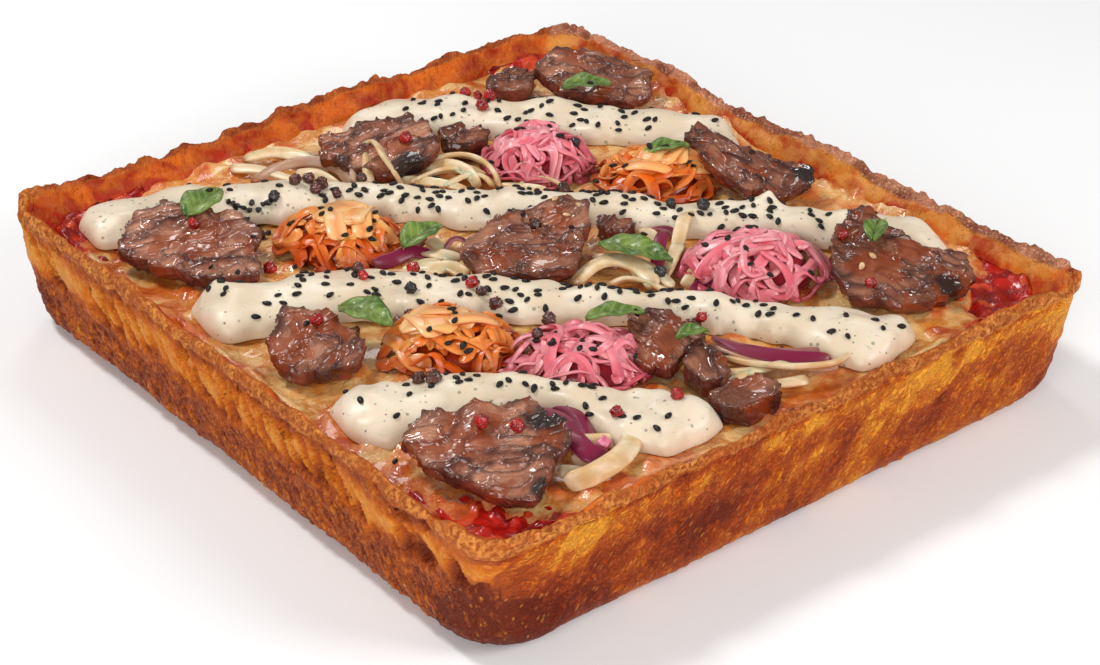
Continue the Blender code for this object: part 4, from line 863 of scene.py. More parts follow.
def beefGrid(piece, around, seed):
    # a slab: an undercut side, a crisp edge and a flat top of folds drawn out along its grain
    outline = beefOutline(piece["outline"], around, seed)
    middle = outline.mean(axis=0)
    spread = outline - middle
    side, top = np.linspace(0, 1, 18), np.linspace(0.985, 0.03, 54)
    scale = np.concatenate([0.88 + 0.12 * np.sin(np.minimum(1, side / 0.7) * math.pi / 2), top])[:, None]
    lift = np.concatenate([0.92 * side, 0.92 + 0.08 * (1 - top ** 12)])[:, None]
    u = middle[0] + scale * spread[None, :, 0]
    v = middle[1] + scale * spread[None, :, 1]
    scale, lift = scale + 0 * u, lift + 0 * u
    lean = piece["rise"][0] * (u - middle[0]) + piece["rise"][1] * (v - outline[:, 1].min())
    bump = (0.8 * ripple(u, v, 16, 41) + 0.2) * lift
    z = np.maximum(restZ + piece["foot"] + lean + piece["thick"] * lift + bump, restZ - 0.4)
    x, y = insideWall(*toPizza(u, v), 0.5)
    grid = np.stack([x, y, z], axis=-1)
    ahead, aside = turned(u, v, -math.radians(piece["grain"]))
    aside = aside + 2.2 * softNoise(grid, 14.0, seed + 2)

    # folds: a noise's distance from zero is round on top and creased between
    along = np.stack([ahead, aside, z], axis=-1)
    warp = 0.5 * layeredNoise(grid, 7.0, seed + 4, 2)[..., None]
    big = 2.6 * softNoise(along / (11.0, 4.2, 6.0) + warp, 1.0, seed + 3)
    small = 2.4 * softNoise(along / (5.0, 1.9, 2.5) + warp, 1.0, seed + 7)
    puff, smallPuff = (1 - (1 - np.clip(np.abs(folds), 0, 1)) ** 2 for folds in (big, small))
    coarse = softNoise(along / (17.0, 5.5, 5.0), 1.0, seed + 6)
    crease = smoothStep(1 - np.abs(coarse) * 2.4, 0.66, 1.0)
    knobs = layeredNoise(grid, 3.4, seed + 10, 2)
    sideways = smoothStep(1 - lift, 0.07, 0.30)
    edge = np.exp(-((scale - 1.0) / 0.07) ** 2) * (1 - sideways)
    glaze = 0 * u
    for spotU, spotV, reach in piece["glaze"]:
        away = np.hypot(u - spotU, v - spotV) / reach + 0.3 * knobs
        glaze = np.maximum(glaze, smoothStep(1.15 - away, 0.0, 0.5))
    char = smoothStep(scale, 0.80, 1.0) * smoothStep(ripple(u, v, 22, seed + 12), 0.2, 0.8) * 0.6
    for spotU, spotV, reach in piece["char"]:
        away = np.hypot(u - spotU, v - spotV) / reach - 0.25 * knobs
        char = np.maximum(char, smoothStep(1.2 - away, 0.0, 0.6))

    relief = 1.3 * (puff - 0.7) + 0.40 * (smallPuff - 0.7) - 0.8 * crease
    relief += 0.9 * layeredNoise(grid, 13.0, seed + 8, 2)
    relief *= (1 - 0.75 * glaze) * (1 - 0.5 * sideways)
    relief += sideways * 0.35 * layeredNoise(grid * (1, 1, 2.0), 4.0, seed + 11, 2) + 0.3 * edge * knobs
    relief *= smoothStep(lift, 0.0, 0.12)
    # gap and crease also carry painted shade: the finish darkens the colour between the folds
    values = dict(gap=1 - puff * (0.65 + 0.35 * smallPuff), crease=crease, char=np.clip(char, 0, 1),
                  edge=edge, sideways=sideways, glaze=glaze, dark=0 * u + piece["dark"], ahead=ahead * mm,
                  aside=aside * mm)
    return grid + gridNormals(grid) * relief[..., None], values


def beefFinish():
    # fibres along the grain, painted shade in the gaps and creases between the folds, dark sides, pools of
    # glaze and char over them
    finish = Finish("seared_beef", 0.5, Coat_Weight=0.75, Coat_Roughness=0.05, Specular_IOR_Level=0.2)
    ahead, aside, dark = finish.value("ahead"), finish.value("aside"), finish.value("dark")
    grainWay = addNode(finish.tree, "ShaderNodeCombineXYZ", X=ahead, Y=aside).outputs[0]
    strands = finish.group(fibres, Vector=grainWay, Scale=1300.0, Stretch=(0.22, 1.0, 1.0))
    fine = finish.group(blotches, Scale=700.0, Detail=3.0, Warp=0.5, Low=0.3, High=0.7)
    broad = finish.group(blotches, Scale=90.0, Detail=3.0, Warp=0.5, Low=0.38, High=0.62)
    colour = finish.mix(broad, paint(204, 142, 112), paint(142, 76, 48))
    colour = finish.mix(finish.between(strands, 0.35, 0.65, 0.5, 0.0), colour, paint(112, 56, 38))
    colour = finish.lay(colour, fine, 0.18, paint(218, 164, 136))
    colour = finish.lay(colour, dark, 0.8, finish.mix(broad, paint(130, 68, 34), paint(82, 34, 12)))
    # painted shade in the gaps between folds and in the creases
    colour = finish.mix(finish.between(finish.value("gap"), 0.35, 0.95, 0.0, 0.9), colour, paint(70, 24, 12))
    colour = finish.lay(colour, finish.value("crease"), 0.85, paint(60, 22, 16))
    colour = finish.lay(colour, finish.value("edge"), 0.35, paint(88, 40, 28))
    low = finish.mix(broad, paint(124, 44, 30), paint(82, 26, 18))
    colour = finish.lay(colour, finish.value("sideways"), 0.85, low)
    wet = finish.group(blotches, Scale=80.0, Detail=2.0, Warp=0.4, Low=0.54, High=0.60)
    pools = addMath(finish.tree, "MAXIMUM", finish.value("glaze"), wet)
    colour = finish.lay(colour, pools, 0.6, paint(136, 56, 20))
    colour = finish.lay(colour, finish.value("char"), 0.9, paint(26, 18, 18))
    bumps = finish.plus(strands, finish.times(fine, 0.6))
    bumps = finish.times(bumps, finish.between(pools, 0.0, 1.0, 1.0, 0.15))
    return finish.done(colour, bumps, 0.0005, finish.between(pools, 0.0, 1.0, 0.5, 0.08))


def buildBeef():
    material = beefFinish()
    slices = {}
    for number, (name, piece) in enumerate(beefPieces.items()):
        size = np.ptp(np.array(piece["outline"]), axis=0).sum()
        grid, values = beefGrid(piece, int(100 + 2.0 * size), 400 + 20 * number)
        slices[name] = serve(singlePiece(name + "_seared", grid, material, values), "beef", name)
    return slices


# Heaps: middle (u, v), radii along u and v, height, and what their shreds are.
heaps = {
    "kimchi_b": dict(middle=(43, 54), radii=(22.0, 18.5), height=12.5, kind="kimchi", seed=11),
    "kimchi_c": dict(middle=(-67, 7), radii=(21.5, 18.5), height=13.0, kind="kimchi", seed=12),
    "kimchi_d": dict(middle=(-27, -63), radii=(22.0, 18.0), height=14.0, kind="kimchi", seed=13),
    "pickle_b": dict(middle=(1, 67), radii=(20.5, 18.5), height=15.0, kind="pickle", seed=21),
    "pickle_c": dict(middle=(74, -13), radii=(25.0, 21.5), height=15.0, kind="pickle", seed=22),
    "pickle_d": dict(middle=(14, -73), radii=(24.0, 17.5), height=13.5, kind="pickle", seed=23),
}
# Shreds: the first ones, inSolid, are those fused to the heap's solid; wide and chunks count its plates.
shredKinds = {
    "kimchi": dict(width=3.3, thick=1.8, length=(20.0, 32.0), bend=6.0, inSolid=6, total=56, wide=2,
                   chunks=6),
    "pickle": dict(width=3.2, thick=2.0, length=(20.0, 36.0), bend=9.0, inSolid=6, total=50, wide=0,
                   chunks=0),
}
shredPoints, shredSides = 28, 12
plateWidth, plateThick = (7.0, 10.0), 1.5
heapCore = 0.84                          # share of a heap's radii and height that its dome takes up


def drawnWave(draw, step, high, turns):
    # a sine wave along step with a drawn height, number of turns and start
    return draw.uniform(*high) * np.sin(2 * math.pi * (draw.uniform(*turns) * step + draw.uniform()))


def shredPaths(heap, total, points):
    # shreds laid over a heap: bent chords first, then looser ones that wander, rise and stick out a little
    kind = shredKinds[heap["kind"]]
    draw = np.random.default_rng(heap["seed"])
    extra = np.random.default_rng(heap["seed"] + 900)
    radiusU, radiusV = heap["radii"]
    paths = []
    for shred in range(total):
        length = draw.uniform(*kind["length"])
        heading = draw.uniform(0, 2 * math.pi)
        reach, where = 0.55 * math.sqrt(draw.uniform()), draw.uniform(0, 2 * math.pi)
        bend, turn = draw.uniform(-1, 1) * kind["bend"], draw.uniform(-0.5, 0.5)
        level = draw.uniform(0.88, 1.0)
        step = np.linspace(-0.5, 0.5, points)
        ahead = step * length
        aside = bend * (4 * step ** 2 - 0.5) + turn * bend * np.sin(2 * math.pi * step)
        lift, limit = 0 * step, 0.90
        if shred >= 0.72 * total:
            # the last ones lie round the heap's foot
            reach, heading = 1.45, where + math.pi / 2 + extra.uniform(-0.7, 0.7)
        if shred >= kind["inSolid"]:
            curl = extra.uniform(-1.8, 1.8) + drawnWave(extra, step, (0.6, 1.8), (0.7, 1.5))
            ahead = np.cumsum(np.cos(curl * step * 2)) * length / points
            aside = np.cumsum(np.sin(curl * step * 2)) * length / points
            ahead, aside = ahead - ahead.mean(), aside - aside.mean()
            reach, limit = min(reach * 1.6, 0.92), extra.uniform(0.94, 1.06)
            level = extra.uniform(0.72, 1.0)
            lift = drawnWave(extra, step, (0, 1.8), (0.8, 1.8))
        if kind["inSolid"] <= shred < kind["inSolid"] + kind["chunks"]:
            # plates are short, nearly straight and lie on top
            ahead, aside, lift = step * 17.0, 1.5 * step ** 2, 0 * step
            reach, level = 0.15 + 0.35 * extra.uniform(), 1.05
        ahead, aside = turned(ahead, aside, heading)
        u = radiusU * reach * math.cos(where) + ahead
        v = radiusV * reach * math.sin(where) + aside
        out = np.hypot(u / radiusU, v / radiusV)
        pull = 1 / np.maximum(1, out / limit)
        u, v, out = u * pull, v * pull, np.minimum(out, min(limit, 0.985))
        z = restZ + heap["height"] * np.sqrt(1 - out ** 2) * level - kind["thick"] * 0.6 + lift
        z = np.maximum(z, restZ + kind["thick"] * 0.4)
        paths.append(np.stack([*toPizza(u + heap["middle"][0], v + heap["middle"][1]), z], axis=1))
    return np.array(paths)


def stripGrids(paths, width, thick, sides, roll):
    # strips of oval section carried along their paths, rolled round them and narrower at both ends
    ahead = np.gradient(paths, axis=1)
    ahead /= np.maximum(np.linalg.norm(ahead, axis=-1), 1e-6)[..., None]
    across = np.cross(ahead, (0, 0, 1.0))
    across /= np.maximum(np.linalg.norm(across, axis=-1), 1e-6)[..., None]
    above = np.cross(across, ahead)
    rolledAcross = across * np.cos(roll)[..., None] + above * np.sin(roll)[..., None]
    rolledAbove = above * np.cos(roll)[..., None] - across * np.sin(roll)[..., None]
    angle = np.arange(sides) / sides * 2 * math.pi
    squareX, squareY = (np.sign(wave) * np.abs(wave) ** 0.7 for wave in (np.cos(angle), np.sin(angle)))
    end = np.sqrt(np.clip(1 - np.linspace(-1, 1, paths.shape[1]) ** 12, 0.12, 1))
    half = np.reshape(width, (-1, 1, 1, 1)) / 2 * end[None, :, None, None]
    deep = np.reshape(thick, (-1, 1, 1, 1)) / 2 * end[None, :, None, None]
    return (paths[:, :, None] + rolledAcross[:, :, None] * squareX[None, None, :, None] * half
            + rolledAbove[:, :, None] * squareY[None, None, :, None] * deep)


def domeGrid(middle, radii, height, around, levels):
    # half an ellipsoid over the cheese, from a little under its foot nearly to its top
    angle = np.arange(around) / around * 2 * math.pi
    level = np.linspace(-0.1, math.pi / 2 - 0.05, levels)[:, None]
    u = middle[0] + radii[0] * np.cos(level) * np.cos(angle)
    v = middle[1] + radii[1] * np.cos(level) * np.sin(angle)
    z = restZ + height * np.sin(level) + 0 * u
    return np.stack([*toPizza(u, v), z], axis=-1)


def shredFinish(name, light, middle, dark):
    # each shred has its own shade, lines along it and painted shade where the heap is low down
    finish = Finish(name, 0.28, Coat_Weight=0.25, Coat_Roughness=0.1, Specular_IOR_Level=0.35,
                    Subsurface_Weight=0.2, Subsurface_Scale=0.0015)
    shade, deep = finish.value("shade"), finish.value("deep")
    soft = finish.group(blotches, Scale=160.0, Detail=3.0, Warp=0.4, Low=0.3, High=0.7)
    colour = finish.mix(finish.plus(shade, finish.around(soft, 0.5)), light, middle)
    colour = finish.mix(finish.between(shade, 0.12, 0.0, 0.0, 0.8), colour, paint(246, 208, 154))
    colour = finish.lay(colour, finish.value("rib"), 0.55, middle)
    # painted shade: darker low in the heap, between the shreds
    colour = finish.mix(deep, colour, dark)
    return finish.done(colour, finish.value("rib"), 0.0004)


def buildHeaps():
    # each heap is a dome with its shreds over it; deep is painted shade, dark between them low in the heap
    # the third colour of each is the painted shade deep in the heap
    finishes = {
        "pickle": shredFinish("pickled_shreds", paint(252, 180, 184), paint(234, 112, 126),
                              paint(166, 30, 48)),
        "kimchi": shredFinish("kimchi_shreds", paint(250, 180, 94), paint(230, 98, 8), paint(156, 38, 2)),
    }
    piles = {}
    for name, heap in heaps.items():
        kind, material = shredKinds[heap["kind"]], finishes[heap["kind"]]
        draw = np.random.default_rng(heap["seed"] + 500)
        paths = shredPaths(heap, kind["total"], shredPoints)
        count = len(paths)
        width = kind["width"] * draw.uniform(0.75, 1.55, count)
        thick = kind["thick"] * draw.uniform(0.35, 0.70, count)
        shade = draw.uniform(0.1, 1.0, count)
        roll = draw.uniform(-0.5, 0.5, (count, 1))
        roll = roll + draw.uniform(-1.2, 1.2, (count, 1)) * np.linspace(0, 1, shredPoints)
        plates = [*range(kind["wide"]), *range(kind["inSolid"], kind["inSolid"] + kind["chunks"])]
        width[plates], thick[plates] = draw.uniform(*plateWidth, len(plates)), plateThick
        shade[plates] *= 0.1
        roll[plates] *= 0.25
        grids = stripGrids(paths, width, thick, shredSides, roll)
        rise = (grids[..., 2] - restZ) / heap["height"]
        ribs = 0.5 + 0.5 * np.cos(np.arange(shredSides) / shredSides * 2 * math.pi * 4)
        values = dict(shade=shade[:, None, None] + 0 * rise, deep=np.clip(0.82 - 1.15 * rise, 0, 0.8),
                      rib=ribs + 0 * rise)
        shreds = closedPiece(name + "_shreds", grids, paths[:, 0], paths[:, -1], material, values)
        # the middle dome is dark (deep 0.9): painted shade that fills the gaps under the shreds
        core = domeGrid(heap["middle"], [radius * heapCore * 0.9 for radius in heap["radii"]],
                        heap["height"] * heapCore * 0.72, 60, 14)
        ones = np.ones(core.shape[:2])
        values = dict(shade=ones, deep=ones * 0.9, rib=ones * 0)
        middle = singlePiece(name + "_middle", core, material, values)
        piles[name] = serve(shreds, heap["kind"], name)
        piles[name + "_middle"] = serve(middle, heap["kind"])
    return piles


# Onion strands: a path (u, v), its thickness, how high its middle arches, and how red it is.
strandPoints, strandSides = 40, 20
onionBundles = {
    "onion_left": [
        ([(-106, 68), (-96, 71), (-86, 68), (-74, 60)], 3.4, 2.0, 0),
        ([(-101, 51), (-92, 60), (-80, 63), (-70, 58), (-66, 50)], 3.0, 2.5, 0.5),
        ([(-84, 69), (-75, 66), (-66, 58), (-64, 50)], 3.0, 4.5, 0.4),
        ([(-110, 62), (-100, 60), (-90, 54), (-82, 50)], 2.8, 1.0, 0),
        ([(-96, 76), (-88, 74), (-78, 70), (-70, 66)], 2.6, 1.2, 0),
        ([(-86, 58), (-78, 55), (-70, 48)], 2.6, 1.5, 0)],
    "onion_back": [
        ([(-47, 60), (-37, 66), (-27, 67), (-19, 62), (-14, 53), (-13, 46)], 3.4, 3.0, 0),
        ([(-45, 50), (-36, 56), (-27, 57), (-21, 50)], 3.0, 2.0, 0),
        ([(-33, 47), (-25, 53), (-18, 52), (-14, 46)], 3.0, 2.0, 0),
        ([(-64, 72), (-58, 66), (-54, 56), (-47, 47)], 3.2, 9.0, 0),
        ([(-59, 66), (-60, 58), (-59, 49)], 3.0, 6.0, 0),
        ([(-48, 52), (-40, 51), (-30, 48), (-24, 45)], 2.6, 1.0, 0),
        ([(-40, 62), (-32, 60), (-24, 54), (-20, 47)], 2.8, 3.5, 0),
        ([(-36, 68), (-26, 62), (-18, 56)], 2.4, 1.0, 0),
        ([(-6, 49), (3, 51), (12, 46)], 2.6, 2.0, 0),
        ([(-12, 50), (-4, 46), (4, 44)], 2.6, 1.0, 0)],
    "onion_middle": [
        ([(-54, -10), (-47, -8), (-41, -3), (-34, -4)], 3.2, 2.0, 1),
        ([(-42, -9), (-35, -13), (-27, -13), (-22, -17)], 3.0, 1.5, 0),
        ([(-36, 8), (-32, -1), (-28, -9)], 3.0, 2.0, 0),
        ([(-31, -2), (-28, 5), (-24, 8)], 3.0, 2.0, 1),
        ([(-50, -14), (-40, -15), (-30, -18)], 2.6, 1.0, 0),
        ([(-48, -4), (-42, 2), (-37, 10)], 2.6, 1.0, 0.8),
        ([(-38, -2), (-32, -6), (-25, -6)], 2.8, 2.5, 0),
        ([(-44, -14), (-36, -9), (-30, -12), (-22, -20)], 2.4, 1.5, 0)],
    "onion_centre": [
        ([(13, -24), (20, -15), (28, -13), (36, -17), (40, -25)], 4.0, 3.5, 0),
        ([(20, -5), (29, -7), (38, -13), (46, -24)], 3.2, 2.5, 0),
        ([(44, -18), (48, -4), (50, 8)], 3.2, 3.0, 0),
        ([(41, -14), (43, 0), (47, 12)], 3.0, 5.0, 1),
        ([(48, -3), (51, 10), (54, 24)], 3.2, 7.0, 0),
        ([(24, -24), (30, -20), (38, -22), (44, -27)], 2.8, 1.0, 0),
        ([(18, -12), (24, -9), (32, -12), (36, -20)], 2.6, 3.0, 0),
        ([(38, 12), (44, 14), (52, 14)], 2.6, 2.0, 1),
        ([(50, -24), (54, -14), (54, -4)], 2.8, 2.0, 0),
        ([(35, 10), (40, 6), (44, -6)], 3.0, 3.0, 0),
        ([(52, -28), (58, -22), (66, -24)], 2.8, 1.0, 1)],
    "onion_right": [
        ([(58, -58), (66, -67), (80, -73), (94, -72)], 3.8, 2.0, 1),
        ([(60, -70), (70, -77), (82, -80), (93, -77), (99, -69)], 3.8, 3.0, 0),
        ([(61, -88), (66, -80), (72, -74)], 3.0, 1.0, 0),
        ([(56, -62), (68, -72), (82, -76), (96, -74)], 2.6, 1.2, 0.5),
        ([(66, -84), (76, -86), (86, -82)], 2.6, 1.0, 0),
        ([(60, -78), (68, -80), (78, -76), (86, -70)], 2.4, 2.4, 0),
        ([(72, -66), (82, -68), (92, -66)], 2.6, 1.0, 0.8)],
    "onion_front": [
        ([(1, -101), (8, -109), (12, -121), (17, -129), (23, -128)], 4.2, 4.0, 1),
        ([(10, -141), (17, -140), (25, -133), (29, -124), (30, -114)], 4.4, 3.0, 0),
        ([(2, -96), (11, -103), (16, -113), (19, -124)], 3.2, 3.0, 1),
        ([(12, -119), (18, -121), (24, -118)], 3.4, 2.0, 0),
        ([(8, -134), (16, -135), (24, -128)], 3.0, 1.5, 0),
        ([(5, -104), (12, -108), (18, -117), (20, -122)], 2.8, 1.5, 1),
        ([(12, -128), (18, -130), (24, -134)], 2.8, 1.0, 0.3)],
}


def onionFinish():
    # pale strands with tan lines; red ones are purple outside and pink at the edge
    finish = Finish("cooked_onion", 0.4, Coat_Weight=0.2, Coat_Roughness=0.12, Specular_IOR_Level=0.3,
                    Subsurface_Weight=0.45, Subsurface_Scale=0.002)
    red, edge, line = finish.value("red"), finish.value("edge"), finish.value("line")
    soft = finish.group(blotches, Scale=120.0, Detail=3.0, Warp=0.4, Low=0.3, High=0.7)
    pale = finish.mix(soft, paint(240, 224, 190), paint(214, 178, 124))
    pale = finish.lay(pale, line, 0.30, paint(190, 140, 82))
    purple = finish.mix(edge, paint(126, 24, 60), paint(228, 166, 176))
    colour = finish.mix(red, pale, purple)
    colour = finish.lay(colour, finish.value("tip"), soft, paint(140, 78, 34))
    return finish.done(colour, line, 0.00012)


def buildOnions():
    # flat strands with fine lines along them, pale on one side where they are red, browned at the tips
    material = onionFinish()
    bundles = {}
    step = np.linspace(-1, 1, strandPoints)
    angle = np.arange(strandSides) / strandSides * 2 * math.pi
    for number, (name, strands) in enumerate(onionBundles.items()):
        paths = []
        for points, thick, arch, red in strands:
            line = smoothPath(points, strandPoints)
            z = restZ + thick * 0.5 + arch * np.sin(math.pi * (step + 1) / 2)
            paths.append(np.stack([*insideWall(*toPizza(*line.T), 2.0), z], axis=1))
        paths, thicks = np.array(paths), np.array([strand[1] for strand in strands])
        draw = np.random.default_rng(700 + number)
        roll = draw.uniform(-0.9, 0.9, (len(paths), 1)) + draw.uniform(-1, 1, (len(paths), 1)) * step
        grids = stripGrids(paths, thicks * 1.55, thicks * 0.6, strandSides, roll)
        zeros = np.zeros(grids.shape[:3])
        reds = np.array([strand[3] for strand in strands], float)
        values = dict(red=reds[:, None, None] + zeros, edge=smoothStep(-np.sin(angle), -0.4, 0.6) + zeros,
                      line=0.5 + 0.5 * np.sin(5 * angle) + zeros,
                      tip=smoothStep(np.abs(step), 0.72, 1.0)[:, None] + zeros)
        piece = closedPiece(name + "_strands", grids, paths[:, 0], paths[:, -1], material, values)
        bundles[name] = serve(piece, "onion", name)
    return bundles


# Basil: place (u, v), turn in degrees, length, width and how far the sides fold up.
basilLeaves = {
    "basil_1": dict(place=(19, 111), turn=8, length=19.0, width=12.0, fold=0.30),
    "basil_2": dict(place=(47, 57), turn=20, length=18.0, width=9.0, fold=0.45),
    "basil_3": dict(place=(-113, 14), turn=62, length=22.0, width=15.0, fold=0.25),
    "basil_4": dict(place=(-38, 2), turn=50, length=20.0, width=13.0, fold=0.40),
    "basil_5": dict(place=(34, -11), turn=-25, length=28.0, width=15.0, fold=0.30),
    "basil_6": dict(place=(114, -10), turn=75, length=15.0, width=9.0, fold=0.45),
    "basil_7": dict(place=(-53, -60), turn=-35, length=22.0, width=15.0, fold=0.30),
    "basil_8": dict(place=(26, -62), turn=12, length=20.0, width=9.0, fold=0.40),
    "basil_9": dict(place=(50, -72), turn=25, length=12.0, width=7.0, fold=0.40),
}
leafThick = 0.55


def leafShape(leaf, step, side):
    # a pointed oval, folded up along its midrib and curled down at both ends
    half = leaf["width"] / 2 * np.sin(math.pi * step) ** 0.75 * (1.12 - 0.45 * step)
    x = (step - 0.5) * leaf["length"] + 0 * side
    y = half * side
    z = leaf["fold"] * np.abs(y) - 5.5 * (step - 0.5) ** 2 + 0.35 * np.sin(2.4 * x / 3 + 2 * side)
    return x, y, z


def leafFinish():
    # two greens, paler veins and a grey-green under side
    finish = Finish("basil_leaf", 0.36, Coat_Weight=0.2, Coat_Roughness=0.16, Specular_IOR_Level=0.35)
    vein, under = finish.value("vein"), finish.value("under")
    soft = finish.group(blotches, Scale=160.0, Detail=3.0, Warp=0.4, Low=0.3, High=0.7)
    colour = finish.mix(soft, paint(116, 140, 58), paint(60, 92, 28))
    colour = finish.mix(under, colour, paint(134, 152, 92))
    colour = finish.lay(colour, vein, 0.5, paint(176, 192, 120))
    return finish.done(colour, finish.group(blotches, Scale=700.0, Low=0.3, High=0.7), 0.00015)


def buildLeaves():
    # the leaf's upper side and its under side, one thickness lower, joined round its edge
    material = leafFinish()
    leaves = {}
    step = np.linspace(0.02, 0.98, 54)[:, None]
    side = np.linspace(-1, 1, 41)[None]
    for name, leaf in basilLeaves.items():
        x, y, z = leafShape(leaf, step, side)
        rib = np.exp(-(np.abs(y) / 0.35) ** 2)
        slant = (x - 0.9 * np.abs(y)) / 3.4
        sideRibs = np.abs(np.sin(math.pi * slant)) ** 10 * smoothStep(1 - np.abs(side), 0.05, 0.3)
        swell = np.abs(side) * (1 - np.abs(side))
        z = z + swell * (3.0 + 0.15 * np.cos(2 * math.pi * slant)) - 0.4 * rib
        u, v = turned(x, y, math.radians(leaf["turn"]))
        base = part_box(name)[0].z / mm - z.min() + 0.2
        top = np.stack([*toPizza(leaf["place"][0] + u, leaf["place"][1] + v), z + base + leafThick], axis=-1)
        under = top - np.array((0, 0, leafThick))
        grid = np.concatenate([top, under[:, ::-1]], axis=1)
        vein = np.clip(rib + 0.6 * sideRibs, 0, 1)
        values = dict(vein=np.concatenate([vein, vein[:, ::-1]], axis=1),
                      under=np.concatenate([0 * vein, 0 * vein + 1], axis=1))
        leaves[name] = serve(singlePiece(name + "_leaf", grid, material, values), "basil", name)
    return leaves


# Seeds and peppercorns lie on whatever is straight below their place.
seedHalf = np.array((1.6, 0.95, 0.62))   # half sizes of a sesame seed
cubeHalf, cornHalf = 1.9, 2.3            # half sizes of a pickle cube and a peppercorn
rayStart = 120.0                         # above everything
seedPlan = {                             # seeds on each band, and the stretch of u that most lie on
    "cream_band_1": (52, -62, 60), "cream_band_2": (120, -95, 100), "cream_band_3": (110, -100, 95),
    "cream_band_4": (34, -58, 46)}
seedGap, seedsPerHeap, seedsSpilled = 2.3, 9, 46

def surfaceOf(pieces):
    # one surface of triangles over all the pieces, for rays from above
    corners, faces = [], []
    start = 0
    for piece in pieces:
        mesh = piece.data
        mesh.calc_loop_triangles()
        place = np.empty(len(mesh.vertices) * 3, np.float32)
        mesh.vertices.foreach_get("co", place)
        index = np.empty(len(mesh.loop_triangles) * 3, np.int32)
        mesh.loop_triangles.foreach_get("vertices", index)
        corners.append(place.reshape(-1, 3))
        faces.append(index.reshape(-1, 3) + start)
        start += len(mesh.vertices)
    return BVHTree.FromPolygons(np.concatenate(corners).tolist(), np.concatenate(faces).tolist())


def grainGrid(rings, around, shape):
    # an ellipsoid of half sizes shape, blunt at one end and pointed at the other
    level = np.linspace(-0.9, 0.9, rings)[:, None]
    angle = np.arange(around) / around * 2 * math.pi
    ring = np.sqrt(1 - level ** 2) * (1 - 0.22 * level)
    return np.stack([level + 0 * angle, ring * np.cos(angle), ring * np.sin(angle)], axis=-1) * shape


def layGrains(name, grid, ends, spots, surface, sink, material, slot, relief=None):
    # copies of a grain, each turned, sized and laid on the slope below its spot (u, v, turn, size)
    grids, firsts, lasts = [], [], []
    for number, (u, v, turn, size) in enumerate(spots):
        place, slope = surface.ray_cast(Vector((*toPizza(u, v), rayStart)) * mm, Vector((0, 0, -1)))[:2]
        if place is None:
            continue
        slope = (slope + Vector((0, 0, 0.35))).normalized()
        lie = np.array(slope.to_track_quat("Z", "Y").to_matrix())
        cosine, sine = math.cos(turn), math.sin(turn)
        spin = np.array([(cosine, -sine, 0), (sine, cosine, 0), (0, 0, 1)])
        centre = np.array(place) / mm + np.array(slope) * sink * size
        body = grid * size if relief is None else grid * size * relief[number % len(relief)][..., None]
        grids.append(body @ spin.T @ lie.T + centre)
        firsts.append(ends[0] * size @ spin.T @ lie.T + centre)
        lasts.append(ends[1] * size @ spin.T @ lie.T + centre)
    return serve(closedPiece(name, grids, firsts, lasts, material), slot)


def turnAndSize(draw, smallest, largest):
    # any turn, and a size between the two
    return draw.uniform(0, 2 * math.pi), draw.uniform(smallest, largest)


def seedSpots():
    # sesame lies on the cream, thickest in the middle of each band, and is spilled on what is beside it
    draw = np.random.default_rng(900)
    spots = []
    for name, (total, first, last) in seedPlan.items():
        rows = creamBands[name]
        line = smoothPath(rows, 8 * len(rows))
        laid = []
        for attempt in range(total * 40):
            along = draw.normal((first + last) / 2, (last - first) / 3.4)
            if not rows[0][0] + 6 < along < rows[-1][0] - 6:
                continue
            front, back = (np.interp(along, line[:, 0], line[:, k]) for k in (1, 2))
            spot = (along, front + (back - front) * draw.uniform(0.08, 0.95))
            if all(math.dist(spot, other[:2]) > seedGap for other in laid):
                laid.append((*spot, *turnAndSize(draw, 0.85, 1.1)))
            if len(laid) == total:
                break
        spots += laid
    for heap in heaps.values():
        for seed in range(seedsPerHeap):
            reach, where = draw.uniform(0.1, 0.9), draw.uniform(0, 2 * math.pi)
            spots.append((heap["middle"][0] + heap["radii"][0] * reach * math.cos(where),
                          heap["middle"][1] + heap["radii"][1] * reach * math.sin(where),
                          *turnAndSize(draw, 0.85, 1.1)))
    for seed in range(seedsSpilled):
        spots.append((draw.uniform(-110, 120), draw.uniform(-130, 115), *turnAndSize(draw, 0.8, 1.0)))
    return spots


# places (u, v) of what is laid singly; a cube's place is followed by its turn and size
redCorns = [(-115, 2), (-20, 100), (-17, 108), (-27, 114), (-89, -9), (-40, -21), (-68, -64), (-4, -128),
            (-15, -125), (53, -61), (-56, -30), (-20, -34), (110, -36), (103, -9), (44, -104), (26, -111),
            (-65, -49), (-47, 67), (-22, 110)]
darkCorns = [(-84, 36), (-80, 40), (-75, 38), (-65, 44), (-94, 14), (-61, 41), (-69, 32), (-40, -49),
             (-44, -45), (-47, -87), (-35, -90), (-30, -92), (-17, -38), (2, -71), (5, -61), (-12, -42),
             (0, 0), (10, 35), (-16, -111), (-77, 34), (-58, -24), (-60, -50)]
blackCorns = [(47, 24), (58, 22), (-13, 82), (14, 66), (-40, -36), (42, -20), (-90, 27)]
crowdPlace = (-99, 21)
paleSeeds = [(4, -2), (7, 11), (11, 4), (1, 3), (15, 9), (118, 4), (125, -2), (112, -20), (108, -25),
             (58, -70)]
cubeSpots = [(21, -122, 0.4, 1.0), (25.5, -121, 1.1, 0.9)]


def twoTone(name, rough, scale, light, dark, relief=0.0002, **constants):
    # a small thing's finish: two colours in soft patches, which also dent it
    finish = Finish(name, rough, **constants)
    tone = finish.group(blotches, Scale=scale, Low=0.3, High=0.7)
    return finish.done(finish.mix(tone, light, dark), tone, relief)


